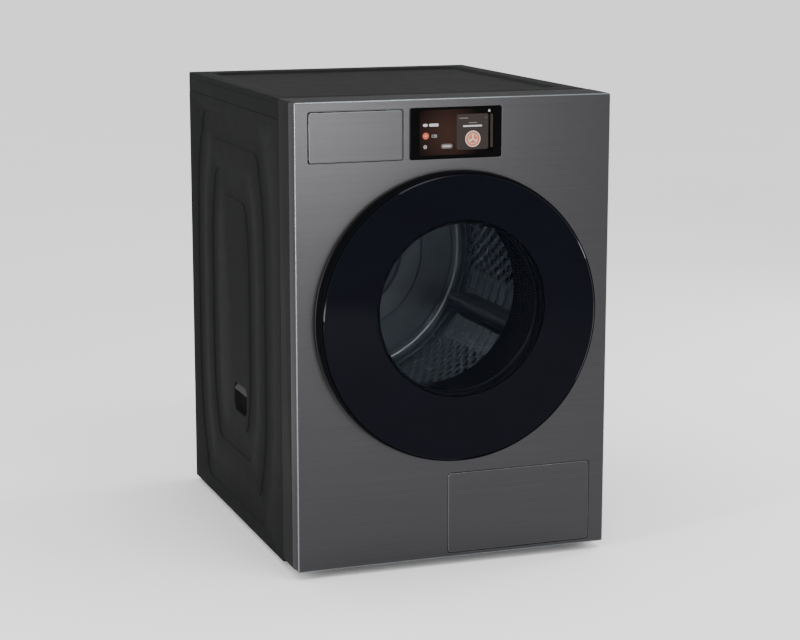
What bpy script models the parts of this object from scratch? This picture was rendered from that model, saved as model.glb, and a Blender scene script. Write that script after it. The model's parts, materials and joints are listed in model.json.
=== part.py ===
"""A free-standing heat-pump clothes dryer: cabinet, round glass door, drum and its drive, heat pump,
water drawer, lint filter and service hatch.

Sizes and places are in millimetres and become metres when a mesh is made.  +X is to the right
of someone facing the machine, +Y runs to its back, +Z is up, and the origin lies on the floor
under the middle of its bounding box.
"""

import math

import bmesh
import bpy
from mathutils import Vector

METRES = 0.001

# Driving dimensions
HALF_WIDTH = 343.0
TOP = 984.0
FRONT = -406.0
REAR = 444.0
SHEET = 1.5
GAP = 0.3
FOOT_HEIGHT = 8.0
PANEL_BOTTOM = 18.0
SIDE_BOTTOM = 10.0
RETURN_DEPTH = 40.0
FRAME_REAR = -296.0
SKIRT_BOTTOM = 942.0

AXIS_Z = 556.0
DOOR_Z = 536.0
DRUM_RADIUS = 318.0
DRUM_SHEET = 1.5
DRUM_FRONT = -236.0
DRUM_REAR = 338.0
COLLAR_RADIUS = 208.2
LIFTER_ANGLES = (-25.0, 95.0, 215.0)
ROLLER_RADIUS = 25.0
ROLLER_ANGLES = (-125.0, -55.0)

DOOR_FRONT = -444.0
DOOR_GLASS_BACK = -439.5
DOOR_RADIUS = 303.0
GLASS_RADIUS = 297.5
DOOR_FRAME_BACK = -408.0
DOOR_RIM_BACK = -414.0
BOWL_BACK = -301.0
NECK_RADIUS = 184.0
HINGE_X = 290.0
HINGE_Y = -432.0
HINGE_PIN_RADIUS = 3.0
HINGE_BAND = (39.0, 51.0)

MOTOR_X, MOTOR_Z = -215.0, 118.0
PULLEY_RADIUS = 12.0
IDLER_X, IDLER_Z = -92.0, 152.0
IDLER_RADIUS = 18.0
ARM_PIVOT_X, ARM_PIVOT_Z = -40.0, 157.0
BELT_FRONT, BELT_REAR = 140.0, 150.0
BELT_HALF_THICKNESS = 1.0

COMPRESSOR_X, COMPRESSOR_Y, COMPRESSOR_RADIUS = 190.0, 265.0, 65.0
FAN_X, FAN_Z, FAN_RADIUS = 190.0, 130.0, 55.0

DRAWER_LEFT, DRAWER_RIGHT, DRAWER_BOTTOM, DRAWER_TOP = -314.0, -115.0, 862.0, 964.0
DISPLAY_LEFT, DISPLAY_RIGHT, DISPLAY_BOTTOM, DISPLAY_TOP = -100.0, 98.5, 862.0, 965.5
HATCH_LEFT, HATCH_RIGHT, HATCH_BOTTOM, HATCH_TOP = -14.5, 308.3, 26.5, 200.4
HATCH_CORNER = 7.0
HATCH_AXIS_Y, HATCH_AXIS_Z = -402.0, 34.8
LEVER_X = (30.0, 264.0)
LEVER_Z = 113.0

EMBOSS_Y, EMBOSS_Z = 72.0, 477.0
EMBOSS_DEPTH = 3.0
EMBOSS_SLOPE = 4.0
EMBOSS_CORNER = 40.0
GRIP_FRONT, GRIP_REAR, GRIP_BOTTOM, GRIP_TOP = -24.0, 76.0, 258.0, 322.0
GRIP_DEPTH = 24.0

FOOT_X = 270.0
FOOT_Y = (-320.0, 390.0)

FILTER_BOTTOM = AXIS_Z - 310.0

ROUND = 40
SMALL = 20


# ---------------------------------------------------------------- making shapes

def clear_scene():
    """Removes every object that the file starts with."""
    for thing in list(bpy.data.objects):
        bpy.data.objects.remove(thing, do_unlink=True)


def finish_shade(name, colour, roughness, metallic=0.0):
    """A Principled material with one colour, roughness and metallic value."""
    made = bpy.data.materials.get(name)
    if made:
        return made
    made = bpy.data.materials.new(name)
    made.use_nodes = True
    shader = made.node_tree.nodes["Principled BSDF"]
    shader.inputs["Base Color"].default_value = (*colour, 1.0)
    shader.inputs["Roughness"].default_value = roughness
    shader.inputs["Metallic"].default_value = metallic
    return made


def object_from(name, points, faces):
    """A closed mesh object from points in millimetres, with its faces turned outwards."""
    mesh = bpy.data.meshes.new(name)
    mesh.from_pydata([Vector(p) * METRES for p in points], [], faces)
    shell = bmesh.new()
    shell.from_mesh(mesh)
    bmesh.ops.recalc_face_normals(shell, faces=shell.faces)
    shell.to_mesh(mesh)
    shell.free()
    made = bpy.data.objects.new(name, mesh)
    bpy.context.scene.collection.objects.link(made)
    return made


def block(name, x, y, z):
    """A rectangular block from its ranges along x, y and z."""
    points = [(a, b, c) for a in x for b in y for c in z]
    faces = [(0, 1, 3, 2), (4, 6, 7, 5), (0, 4, 5, 1), (2, 3, 7, 6), (0, 2, 6, 4), (1, 5, 7, 3)]
    return object_from(name, points, faces)


def placed(u, v, t, axis):
    """The point with coordinates u, v across an axis and t along it."""
    return {"x": (t, u, v), "y": (u, t, v), "z": (u, v, t)}[axis]


def prism(name, outline, span, axis):
    """An outline, given across an axis, extruded over a span along that axis."""
    count = len(outline)
    points = [placed(u, v, t, axis) for t in span for u, v in outline]
    sides = [(i, (i + 1) % count, count + (i + 1) % count, count + i) for i in range(count)]
    ends = [tuple(range(count))[::-1], tuple(range(count, 2 * count))]
    return object_from(name, points, sides + ends)


def circle(u, v, radius, steps=SMALL):
    """The points of a circle."""
    turns = [2 * math.pi * i / steps for i in range(steps)]
    return [(u + radius * math.cos(a), v + radius * math.sin(a)) for a in turns]


def rod(name, centre, radius, span, axis, steps=SMALL):
    """A round bar along an axis."""
    return prism(name, circle(*centre, radius, steps), span, axis)


def rounded(left, right, low, high, radius, steps=4):
    """A rectangle's outline with round corners."""
    points = []
    corners = ((right, high, 0), (left, high, 1), (left, low, 2), (right, low, 3))
    for u, v, quarter in corners:
        inward_u = -1 if u == right else 1
        inward_v = -1 if v == high else 1
        for i in range(steps + 1):
            a = math.pi / 2 * (quarter + i / steps)
            points.append((u + inward_u * radius + radius * math.cos(a),
                           v + inward_v * radius + radius * math.sin(a)))
    return points


def turned(name, profile, axis="y", centre=(0.0, AXIS_Z), steps=ROUND):
    """A profile of (radius, place along the axis) turned about the axis.

    A profile whose two ends lie on the axis makes a solid; any other profile is closed on
    itself and makes a ring.
    """
    solid = profile[0][0] == 0 and profile[-1][0] == 0
    points, rows = [], []
    for radius, along in profile:
        if radius == 0:
            rows.append([len(points)] * steps)
            points.append(placed(*centre, along, axis))
            continue
        rows.append(list(range(len(points), len(points) + steps)))
        points += [placed(u, v, along, axis) for u, v in circle(*centre, radius, steps)]
    faces = []
    for row, after in zip(rows, rows[1:] if solid else rows[1:] + rows[:1]):
        for i in range(steps):
            j = (i + 1) % steps
            corners = list(dict.fromkeys((row[i], row[j], after[j], after[i])))
            faces.append(tuple(corners))
    return object_from(name, points, faces)


def combine(target, tool, operation):
    """Applies a Boolean of the tool on the target and removes the tool."""
    step = target.modifiers.new(operation, "BOOLEAN")
    step.operation = operation
    step.solver = "EXACT"
    step.object = tool
    graph = bpy.context.evaluated_depsgraph_get()
    mesh = bpy.data.meshes.new_from_object(target.evaluated_get(graph))
    target.modifiers.clear()
    target.data = mesh
    bpy.data.objects.remove(tool, do_unlink=True)
    return target


def cut(target, *tools):
    """Takes the tools out of the target."""
    for tool in tools:
        combine(target, tool, "DIFFERENCE")
    return target


def join(target, *tools):
    """Adds the tools to the target as one body."""
    for tool in tools:
        combine(target, tool, "UNION")
    return target


def finish(thing, shade, pivot=None):
    """Gives an object its material and soft shading, and sets its origin on its joint's axis."""
    thing.data.materials.clear()
    thing.data.materials.append(finish_shade(*shade))
    thing.data.shade_smooth()
    thing.data.set_sharp_from_angle(angle=math.radians(30))
    if pivot:
        place = Vector(pivot) * METRES
        for vertex in thing.data.vertices:
            vertex.co -= place
        thing.location = place
    return thing


STEEL_FRONT = ("brushed_graphite_steel", (0.105, 0.105, 0.110), 0.38, 0.85)
PAINTED_SIDE = ("black_painted_sheet", (0.017, 0.017, 0.018), 0.45, 0.2)
PAINTED_TOP = ("charcoal_painted_top", (0.040, 0.040, 0.042), 0.5, 0.2)
DARK_PLASTIC = ("dark_moulded_plastic", (0.030, 0.030, 0.032), 0.5)
GREY_PLASTIC = ("grey_moulded_plastic", (0.30, 0.31, 0.32), 0.5)
WHITE_PLASTIC = ("white_moulded_plastic", (0.75, 0.76, 0.76), 0.4)
DOOR_BLACK = ("black_door_glass", (0.010, 0.011, 0.015), 0.05)
CLEAR_GLASS = ("clear_bowl_glass", (0.10, 0.12, 0.15), 0.03)
RIM_DARK = ("dark_door_rim", (0.020, 0.021, 0.024), 0.3, 0.3)
RUBBER = ("black_rubber", (0.02, 0.02, 0.02), 0.8)
FELT = ("grey_felt", (0.25, 0.24, 0.22), 0.95)
STAINLESS = ("stainless_sheet", (0.55, 0.56, 0.58), 0.25, 1.0)
ZINC = ("zinc_steel", (0.45, 0.46, 0.47), 0.4, 1.0)
ALUMINIUM = ("fin_aluminium", (0.70, 0.71, 0.72), 0.35, 1.0)
COMPRESSOR_BLACK = ("black_compressor_paint", (0.02, 0.02, 0.02), 0.4, 0.3)


# ---------------------------------------------------------------- cabinet

def base_pan():
    """The moulded tray that everything stands on, with a hole for each foot's stem."""
    pan = block("base_pan", (-338, 338), (-363, 438), (12, 40))
    cut(pan, block("inside", (-335.5, 335.5), (-360.5, 435.5), (15, 50)))
    for x in (-FOOT_X, FOOT_X):
        for y in FOOT_Y:
            cut(pan, rod("stem_hole", (x, y), 5.6, (0, 30), "z"))
    finish(pan, DARK_PLASTIC)


def emboss_quarter(half_width, half_height, bow):
    """One quarter of a pressed contour, from the middle of its side up to its top edge.

    The side bows in towards the top as half_width - bow * (z / half_height) ** 4.8, and a
    quarter ellipse rounds the corner.
    """
    corner_z = half_height - EMBOSS_CORNER
    side = [corner_z * part for part in (0.0, 0.4, 0.65, 0.85, 1.0)]
    points = [(half_width - bow * (z / half_height) ** 4.8, z) for z in side]
    corner_y = points[-1][0] - EMBOSS_CORNER
    for turn in (22.5, 45.0, 67.5, 90.0):
        a = math.radians(turn)
        points.append((corner_y + EMBOSS_CORNER * math.cos(a), corner_z + EMBOSS_CORNER * math.sin(a)))
    return points


def all_quarters(points):
    """A quarter mirrored into a whole loop about (0, 0)."""
    upper_left = [(-y, z) for y, z in points[::-1]]
    lower_left = [(-y, -z) for y, z in points[1:]]
    lower_right = [(y, -z) for y, z in points[:0:-1]]
    return points + upper_left + lower_left + lower_right


def sheet_edge_quarter(points, half_y, half_z):
    """The sheet's own edge with one point for each point of an emboss quarter."""
    side = [(half_y, z) for _, z in points[:6]]
    return side + [(half_y, half_z)] + [(y, half_z) for y, _ in points[7:]]


def side_panel(name, side):
    """A pressed side sheet with two sunk rings, one inside the other, and a grip opening."""
    contours = ((310.5, 433.0, 82.0), (244.0, 373.5, 62.0), (182.5, 314.0, 55.0), (123.0, 256.0, 38.0))
    first = emboss_quarter(*contours[0])
    centre_y = (FRAME_REAR + REAR) / 2
    centre_z = (SIDE_BOTTOM + SKIRT_BOTTOM - 0.5) / 2
    half_y, half_z = (REAR - FRAME_REAR) / 2, (SKIRT_BOTTOM - 0.5 - SIDE_BOTTOM) / 2
    edge = all_quarters(sheet_edge_quarter(first, half_y, half_z))
    loops = [([(y + centre_y, z + centre_z) for y, z in edge], 0.0)]
    for index, (half_width, half_height, bow) in enumerate(contours):
        inner = -EMBOSS_SLOPE if index % 2 == 0 else EMBOSS_SLOPE
        steps = ((0.0, 0.0), (inner, EMBOSS_DEPTH))
        for grow, depth in steps if index % 2 == 0 else steps[::-1]:
            loop = all_quarters(emboss_quarter(half_width + grow, half_height + grow, bow))
            loops.append(([(y + EMBOSS_Y, z + EMBOSS_Z) for y, z in loop], depth))
    count = len(edge)
    points, faces = [], []
    for skin in (0.0, SHEET - GAP):
        for loop, depth in loops:
            points += [(side * (HALF_WIDTH - skin - depth), y, z) for y, z in loop]
    inner_skin = len(loops) * count
    for start in (0, inner_skin):
        for band in range(len(loops) - 1):
            for i in range(count):
                j = (i + 1) % count
                a = start + band * count
                faces.append((a + i, a + j, a + count + j, a + count + i))
        faces.append(tuple(start + inner_skin - count + i for i in range(count)))
    faces += [(i, (i + 1) % count, inner_skin + (i + 1) % count, inner_skin + i) for i in range(count)]
    panel = object_from(name, points, faces)
    opening = rounded(GRIP_FRONT, GRIP_REAR, GRIP_BOTTOM, GRIP_TOP, 12)
    cut(panel, prism("grip_opening", opening, sorted((side * 330, side * 350)), "x"))
    finish(panel, PAINTED_SIDE)


def grip_cup(name, side):
    """The moulded cup behind a side panel's grip opening."""
    face = side * (HALF_WIDTH - SHEET - GAP)
    outer = block(name, sorted((face, face - side * GRIP_DEPTH)), (GRIP_FRONT - 3, GRIP_REAR + 3),
                  (GRIP_BOTTOM - 3, GRIP_TOP + 3))
    hollow = rounded(GRIP_FRONT, GRIP_REAR, GRIP_BOTTOM, GRIP_TOP, 12)
    cut(outer, prism("hollow", hollow, sorted((face + side * 5, face - side * (GRIP_DEPTH - 2))), "x"))
    finish(outer, DARK_PLASTIC)


def back_panel():
    """The rear sheet, with louvre slots for the cooling fan and a hole for the mains gland."""
    panel = block("back_panel", (-341.2, 341.2), (441.0, 443.5), (12, 941))
    for row in range(7):
        z = FAN_Z - 42 + 14 * row
        cut(panel, block("louvre", (FAN_X - 48, FAN_X + 48), (435, 450), (z - 3, z + 3)))
    cut(panel, rod("gland_hole", (250, 900), 13.0, (430, 450), "y"))
    finish(panel, ZINC)


def cord_gland():
    """The moulded ring that a mains lead comes out through."""
    profile = [(5.0, 438.0), (12.3, 438.0), (12.3, REAR), (5.0, REAR)]
    finish(turned("cord_gland", profile, centre=(250.0, 900.0), steps=SMALL), DARK_PLASTIC)


def top_cover():
    """The lid: a deep skirt round a raised rim and a shallow sunk middle with sloped edges."""
    lid = block("top_cover", (-HALF_WIDTH, HALF_WIDTH), (FRAME_REAR, REAR), (SKIRT_BOTTOM, TOP))
    cut(lid, block("under", (-341, 341), (-310, 440.6), (900, 976.5)))
    rim, floor = (305, -236, 394), (287, -206, 376)
    points = [(sx * rim[0], y, TOP + 1) for y in rim[1:] for sx in (-1, 1)]
    points += [(sx * floor[0], y, TOP - 5) for y in floor[1:] for sx in (-1, 1)]
    faces = [(0, 1, 3, 2), (4, 5, 7, 6), (0, 1, 5, 4), (2, 3, 7, 6), (0, 2, 6, 4), (1, 3, 7, 5)]
    cut(lid, object_from("sunk_middle", points, faces))
    finish(lid, PAINTED_TOP)


def front_frame():
    """The dark three-sided frame behind the front panel, with a tongue along the top."""
    depth = (FRONT + RETURN_DEPTH + GAP, FRAME_REAR - GAP)
    frame = block("front_frame", (-HALF_WIDTH, HALF_WIDTH), depth, (PANEL_BOTTOM, TOP))
    cut(frame, block("inside", (-340, 340), (-420, -280), (0, 977)))
    join(frame, block("tongue", (-341.2, 341.2), (FRONT + SHEET + GAP, -360), (978, TOP)))
    finish(frame, DARK_PLASTIC)


def hinge_slot(side, right):
    """A cutter for the slot round one arm of the door hinge, as far as a place on the right."""
    low, high = sorted((side * HINGE_BAND[0], side * HINGE_BAND[1]))
    return block("hinge_slot", (280, right), (-438.2, -398), (DOOR_Z + low, DOOR_Z + high))


def front_panel():
    """The brushed front sheet with folded sides, its openings, and a low ring round the door."""
    panel = block("front_panel", (-HALF_WIDTH, HALF_WIDTH), (FRONT, FRONT + RETURN_DEPTH),
                  (PANEL_BOTTOM, TOP))
    cut(panel, block("inside", (-341.8, 341.8), (FRONT + SHEET, -300), (19.2, 1000)))
    ring = [(292, -408.5), (304, -408.5), (304, -405.5), (292, -405.5)]
    join(panel, turned("door_ring", ring, centre=(0, DOOR_Z)))
    through = (-420, -390)
    cut(panel, rod("door_opening", (0, AXIS_Z), 228, through, "y", ROUND))
    drawer = rounded(DRAWER_LEFT, DRAWER_RIGHT, DRAWER_BOTTOM, DRAWER_TOP, 5)
    cut(panel, prism("drawer_opening", drawer, through, "y"))
    display = rounded(DISPLAY_LEFT - 0.6, DISPLAY_RIGHT + 0.6, DISPLAY_BOTTOM - 0.6, DISPLAY_TOP + 0.6, 5)
    cut(panel, prism("display_opening", display, through, "y"))
    hatch = rounded(HATCH_LEFT, HATCH_RIGHT, HATCH_BOTTOM, HATCH_TOP, HATCH_CORNER)
    cut(panel, prism("hatch_opening", hatch, through, "y"))
    cut(panel, block("catch_opening", (-272, -252), through, (DOOR_Z - 10, DOOR_Z + 10)))
    cut(panel, hinge_slot(1, 297), hinge_slot(-1, 297))
    finish(panel, STEEL_FRONT)


def foot(index, x, y):
    """A levelling foot: a round pad under a screwed stem."""
    profile = [(0, 0), (20, 0), (22, 2), (22, FOOT_HEIGHT), (5, FOOT_HEIGHT), (5, 32), (0, 32)]
    made = turned(f"foot_{index}", profile, "z", (x, y), SMALL)
    finish(made, RUBBER, (x, y, 0))


# ---------------------------------------------------------------- front of the drum

def front_bulkhead():
    """The front bearing plate with the throat that leads into the drum.

    It carries the two roller shafts, and the throat's floor is slotted for the lint filter,
    which stands in a sleeve below.
    """
    plate = block("front_bulkhead", (-336, 336), (-262, -258), (205, 856))
    cut(plate, rod("plate_hole", (0, AXIS_Z), 201.5, (-270, -250), "y", ROUND))
    tube = [(225, -404.2), (222, -404.2), (205, -330), (200, -290), (200, -240), (203, -240),
            (203, -290), (208, -330)]
    join(plate, turned("throat", tube))
    for angle in ROLLER_ANGLES:
        join(plate, rod("roller_shaft", roller_centre(angle), 6, (-260, -198), "y"))
    cut(plate, block("filter_slot", (-108, 108), (-293, -267), (FILTER_BOTTOM + 54, AXIS_Z - 160)))
    sleeve = block("filter_sleeve", (-112, 112), (-297, -261), (FILTER_BOTTOM - 19, FILTER_BOTTOM + 96))
    cut(sleeve, block("sleeve_inside", (-108, 108), (-293, -267), (180, FILTER_BOTTOM + 114)))
    join(plate, sleeve)
    finish(plate, GREY_PLASTIC)


def roller_centre(angle):
    """Where a front roller's shaft is, so that the roller touches the outside of the drum."""
    reach = DRUM_RADIUS + ROLLER_RADIUS + 0.5
    a = math.radians(angle)
    return reach * math.cos(a), AXIS_Z + reach * math.sin(a)


def front_roller(name, angle):
    """A rubber-tyred roller that the front of the drum runs on."""
    x, z = roller_centre(angle)
    profile = [(6.4, -222), (ROLLER_RADIUS, -222), (ROLLER_RADIUS, -200), (6.4, -200)]
    finish(turned(name, profile, centre=(x, z), steps=24), RUBBER, (x, -211, z))


def drum_felt_seal():
    """The felt ring between the throat and the drum's collar."""
    profile = [(203.3, -256), (207.0, -256), (207.0, -242), (203.3, -242)]
    finish(turned("drum_felt_seal", profile), FELT)


def lint_filter():
    """The lift-out filter: a flat pocket, open at the top, with a tab to pull it by."""
    pocket = block("lint_filter", (-105, 105), (-291, -269), (FILTER_BOTTOM, FILTER_BOTTOM + 105))
    cut(pocket, block("pocket", (-101, 101), (-287, -273), (FILTER_BOTTOM + 4, FILTER_BOTTOM + 134)))
    join(pocket, block("tab", (-30, 30), (-291, -287.5), (FILTER_BOTTOM + 94, FILTER_BOTTOM + 117)))
    finish(pocket, WHITE_PLASTIC, (0, -280, FILTER_BOTTOM + 52))


# ---------------------------------------------------------------- door

def door_glass():
    """The round outer pane with a narrow bevel at its front edge."""
    profile = [(0, DOOR_FRONT), (294, DOOR_FRONT), (GLASS_RADIUS, -441.5),
               (GLASS_RADIUS, DOOR_GLASS_BACK), (0, DOOR_GLASS_BACK)]
    finish(turned("door_glass", profile, centre=(0, DOOR_Z)), DOOR_BLACK, (HINGE_X, HINGE_Y, DOOR_Z))


def door_rim():
    """The dark ring behind the pane: a channel with a sloped outer wall."""
    profile = [(298, -439.2), (301.5, -428), (DOOR_RADIUS, -420), (DOOR_RADIUS, DOOR_RIM_BACK),
               (290, DOOR_RIM_BACK), (290, -417), (300, -417.3), (295, -436.2), (288, -436.2),
               (288, -439.2)]
    rim = turned("door_rim", profile, centre=(0, DOOR_Z))
    pocket = block("hinge_pocket", (270, 295), (-436.1, -417.2), (DOOR_Z - 39.3, DOOR_Z + 39.3))
    cut(rim, hinge_slot(1, 310), hinge_slot(-1, 310), pocket)
    finish(rim, RIM_DARK, (HINGE_X, HINGE_Y, DOOR_Z))


def door_frame():
    """The door's back plate round the neck of the bowl, with the hinge block and the latch tongue.

    The plate is centred on the pane and the neck on the drum's axis, which lies a little higher.
    """
    frame = rod("door_frame", (0, DOOR_Z), 285, (-411, DOOR_FRAME_BACK), "y", ROUND)
    join(frame, rod("bowl_neck", (0, AXIS_Z), 187, (-439.2, -409), "y", ROUND))
    cut(frame, rod("bowl_space", (0, AXIS_Z), NECK_RADIUS, (-450, -400), "y", ROUND))
    height = (DOOR_Z - 38.5, DOOR_Z + 38.5)
    block_post = block("neck", (262, 284), (-435.8, -409), height)
    join(block_post, block("hinge_block", (278, 294.6), (-435.8, -418), height))
    join(frame, block_post)
    pin_space = (DOOR_Z - 60, DOOR_Z + 60)
    cut(frame, rod("pin_bore", (HINGE_X, HINGE_Y), HINGE_PIN_RADIUS + 0.5, pin_space, "z", 16))
    cut(frame, hinge_slot(1, 310), hinge_slot(-1, 310))
    join(frame, block("tongue", (-266, -258), (-410, -392), (DOOR_Z - 6, DOOR_Z + 6)))
    finish(frame, DARK_PLASTIC, (HINGE_X, HINGE_Y, DOOR_Z))


def door_bowl():
    """The clear bowl that fills the throat when the door is shut, open towards the pane."""
    outside = [(NECK_RADIUS - 0.4, -418), (NECK_RADIUS - 0.4, -404), (177, -380), (168, -325),
               (162, -309), (152, -303), (140, BOWL_BACK)]
    inside = [(138, -305), (149, -307), (158, -312), (164, -326), (173, -381), (179, -405), (179, -418)]
    profile = [(0, BOWL_BACK)] + outside[::-1] + inside[::-1] + [(0, -305)]
    finish(turned("door_bowl", profile), CLEAR_GLASS, (HINGE_X, HINGE_Y, DOOR_Z))


def door_seal():
    """The rubber ring on the door's back that closes the mouth of the throat."""
    profile = [(210, -407.7), (217, -407.7), (215, -398), (210, -400)]
    finish(turned("door_seal", profile), RUBBER, (HINGE_X, HINGE_Y, DOOR_Z))


def door_hinge_bracket():
    """The steel plate behind the front panel, with two arms that hold the hinge pin."""
    plate = block("door_hinge_bracket", (268, 324), (-404.2, -400.2), (DOOR_Z - 60, DOOR_Z + 60))
    for side in (-1, 1):
        height = sorted((DOOR_Z + side * 41, DOOR_Z + side * 49))
        join(plate, block("arm", (HINGE_X - 3.5, HINGE_X + 3.5), (-436, -402), height))
    pin_space = (DOOR_Z - 66, DOOR_Z + 66)
    cut(plate, rod("pin_bore", (HINGE_X, HINGE_Y), HINGE_PIN_RADIUS + 0.2, pin_space, "z", 16))
    finish(plate, ZINC)


def door_hinge_pin():
    """The pin through both arms and the door's hinge block."""
    height = (DOOR_Z - 50.4, DOOR_Z + 50.4)
    pin = rod("door_hinge_pin", (HINGE_X, HINGE_Y), HINGE_PIN_RADIUS, height, "z", 16)
    finish(pin, ZINC)


def door_catch():
    """The latch housing behind the front panel that takes the door's tongue."""
    catch = block("door_catch", (-276, -248), (-404.2, -380), (DOOR_Z - 18, DOOR_Z + 18))
    cut(catch, block("mouth", (-271, -253), (-410, -386), (DOOR_Z - 10, DOOR_Z + 10)))
    finish(catch, DARK_PLASTIC)


# ---------------------------------------------------------------- drum and drive

def drum_shell():
    """The stainless drum: a front wall with a collar, and a long round shell."""
    outside = [(COLLAR_RADIUS + 1.8, -252), (COLLAR_RADIUS + 1.8, DRUM_FRONT - DRUM_SHEET),
               (300, DRUM_FRONT - DRUM_SHEET), (DRUM_RADIUS, -225), (DRUM_RADIUS, DRUM_REAR)]
    inner = DRUM_RADIUS - DRUM_SHEET
    inside = [(inner, DRUM_REAR), (inner, -224), (299, DRUM_FRONT), (COLLAR_RADIUS, DRUM_FRONT),
              (COLLAR_RADIUS, -252)]
    finish(turned("drum_shell", outside + inside), STAINLESS, (0, 0, AXIS_Z))


def drum_back():
    """The closed rear wall of the drum, with a step and a raised middle."""
    front = [(0, 300), (70, 301), (112, 306), (118, 316), (236, 322), (250, 332), (314.0, 335.5),
             (314.0, DRUM_REAR + GAP), (DRUM_RADIUS, DRUM_REAR + GAP)]
    rear = [(DRUM_RADIUS, 340), (312, 340), (248, 335), (234, 325), (116, 319), (109, 309), (70, 303.5),
            (0, 302.5)]
    finish(turned("drum_back", front + rear), STAINLESS, (0, 0, AXIS_Z))


def lifter(index, angle):
    """A moulded paddle along the inside of the drum, with a narrow nose."""
    base, nose = 315.4, 254.0
    outline = []
    for turn in (-5.6, -2.8, 0.0, 2.8, 5.6):
        a = math.radians(angle + turn)
        outline.append((base * math.cos(a), AXIS_Z + base * math.sin(a)))
    for reach, half in ((290, 17), (262, 13), (nose, 7), (nose, -7), (262, -13), (290, -17)):
        a = math.radians(angle)
        outline.append((reach * math.cos(a) - half * math.sin(a),
                        AXIS_Z + reach * math.sin(a) + half * math.cos(a)))
    paddle = prism(f"lifter_{index}", outline, (-205, 285), "y")
    finish(paddle, GREY_PLASTIC, (0, 0, AXIS_Z))


def drum_shaft():
    """The rear shaft with the flange that carries the drum's back."""
    profile = [(0, 304), (55, 304), (55, 310), (12, 312), (12, 425), (0, 425)]
    finish(turned("drum_shaft", profile, steps=24), ZINC, (0, 0, AXIS_Z))


def rear_bearing():
    """The flanged bearing housing on the back panel."""
    profile = [(12.4, 392), (28, 392), (28, 432), (32, 432), (32, 440.6), (12.4, 440.6)]
    finish(turned("rear_bearing", profile, steps=24), ALUMINIUM)


def rear_air_duct():
    """The round shroud behind the drum, with a chute down to the blower."""
    profile = [(303, 345), (303, 430), (34, 430), (34, 427), (300, 427), (300, 345)]
    duct = turned("rear_air_duct", profile)
    chute = block("chute", (-238, -162), (356, 429), (199, AXIS_Z - 184))
    cut(chute, rod("shroud_space", (0, AXIS_Z), 301, (340, 440), "y", ROUND))
    join(duct, chute)
    cut(duct, block("chute_inside", (-235, -165), (359, 426.5), (180, AXIS_Z - 187)))
    finish(duct, GREY_PLASTIC)


def belt_line(circles, thickness):
    """A closed loop drawn tight round circles, offset by a thickness to its outside.

    Each circle is (u, v, radius) in the order that the loop meets them anticlockwise, with a
    negative radius where the loop runs round the circle's far side. A tangent from one circle
    to the next leaves at the angle of the line between their centres, less asin of the
    difference of the radii over the distance.
    """
    turns = []
    for (u, v, radius), (to_u, to_v, to_radius) in zip(circles, circles[1:] + circles[:1]):
        along = math.atan2(to_v - v, to_u - u)
        turns.append(along - math.asin((to_radius - radius) / math.hypot(to_u - u, to_v - v)))
    points = []
    for index, (u, v, radius) in enumerate(circles):
        start, end = turns[index - 1], turns[index]
        if radius > 0:
            sweep = (end - start) % (2 * math.pi)
        else:
            sweep = -((start - end) % (2 * math.pi))
        steps = max(2, math.ceil(abs(sweep) / math.radians(8 if radius > 100 else 16)))
        for i in range(steps + 1):
            a = start + sweep * i / steps
            reach = radius + thickness
            points.append((u + reach * math.sin(a), v - reach * math.cos(a)))
    return points


def drive_belt():
    """The belt round the drum and the motor pulley, pressed in by the idler."""
    slack = BELT_HALF_THICKNESS + 0.6
    circles = [(MOTOR_X, MOTOR_Z, PULLEY_RADIUS + slack), (IDLER_X, IDLER_Z, -(IDLER_RADIUS + slack)),
               (0.0, AXIS_Z, DRUM_RADIUS + slack + 0.8)]
    outer = belt_line(circles, BELT_HALF_THICKNESS)
    inner = belt_line(circles, -BELT_HALF_THICKNESS)
    count = len(outer)
    points = [placed(u, v, y, "y") for line in (outer, inner) for y in (BELT_FRONT, BELT_REAR)
              for u, v in line]
    faces = []
    for i in range(count):
        j = (i + 1) % count
        for a, b in ((0, 1), (1, 3), (3, 2), (2, 0)):
            faces.append((a * count + i, a * count + j, b * count + j, b * count + i))
    finish(object_from("drive_belt", points, faces), RUBBER)


def drive_motor():
    """The motor's round body on its standing bracket, with the tension arm's pivot post."""
    bracket = block("drive_motor", (-275, -25), (176, 180), (15.3, 168))
    cut(bracket, rod("shaft_hole", (MOTOR_X, MOTOR_Z), 15, (170, 190), "y"))
    body = [(6, 179), (50, 179), (55, 186), (55, 292), (48, 300), (6, 300)]
    join(bracket, turned("motor_body", body, centre=(MOTOR_X, MOTOR_Z), steps=24))
    join(bracket, rod("arm_post", (ARM_PIVOT_X, ARM_PIVOT_Z), 5, (158, 178), "y"))
    finish(bracket, COMPRESSOR_BLACK)


def motor_pulley():
    """The small belt pulley on the front of the motor's shaft."""
    profile = [(5.3, 137), (PULLEY_RADIUS, 137), (PULLEY_RADIUS, 153), (5.3, 153)]
    made = turned("motor_pulley", profile, centre=(MOTOR_X, MOTOR_Z), steps=24)
    finish(made, ZINC, (MOTOR_X, 145, MOTOR_Z))


def blower_wheel():
    """The process-air wheel on the rear of the motor's long shaft."""
    profile = [(0, 134), (5, 134), (5, 352), (68, 354), (70, 358), (70, 392), (52, 392), (52, 362),
               (12, 360), (12, 390), (0, 390)]
    wheel = turned("blower_wheel", profile, centre=(MOTOR_X, MOTOR_Z), steps=24)
    for index in range(8):
        a = 2 * math.pi * (index + 0.5) / 8
        reach = 62.0
        slot_u, slot_v = MOTOR_X + reach * math.cos(a), MOTOR_Z + reach * math.sin(a)
        cut(wheel, rod("vane_gap", (slot_u, slot_v), 13, (366, 388), "y", 6))
    finish(wheel, GREY_PLASTIC, (MOTOR_X, 372, MOTOR_Z))


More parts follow.
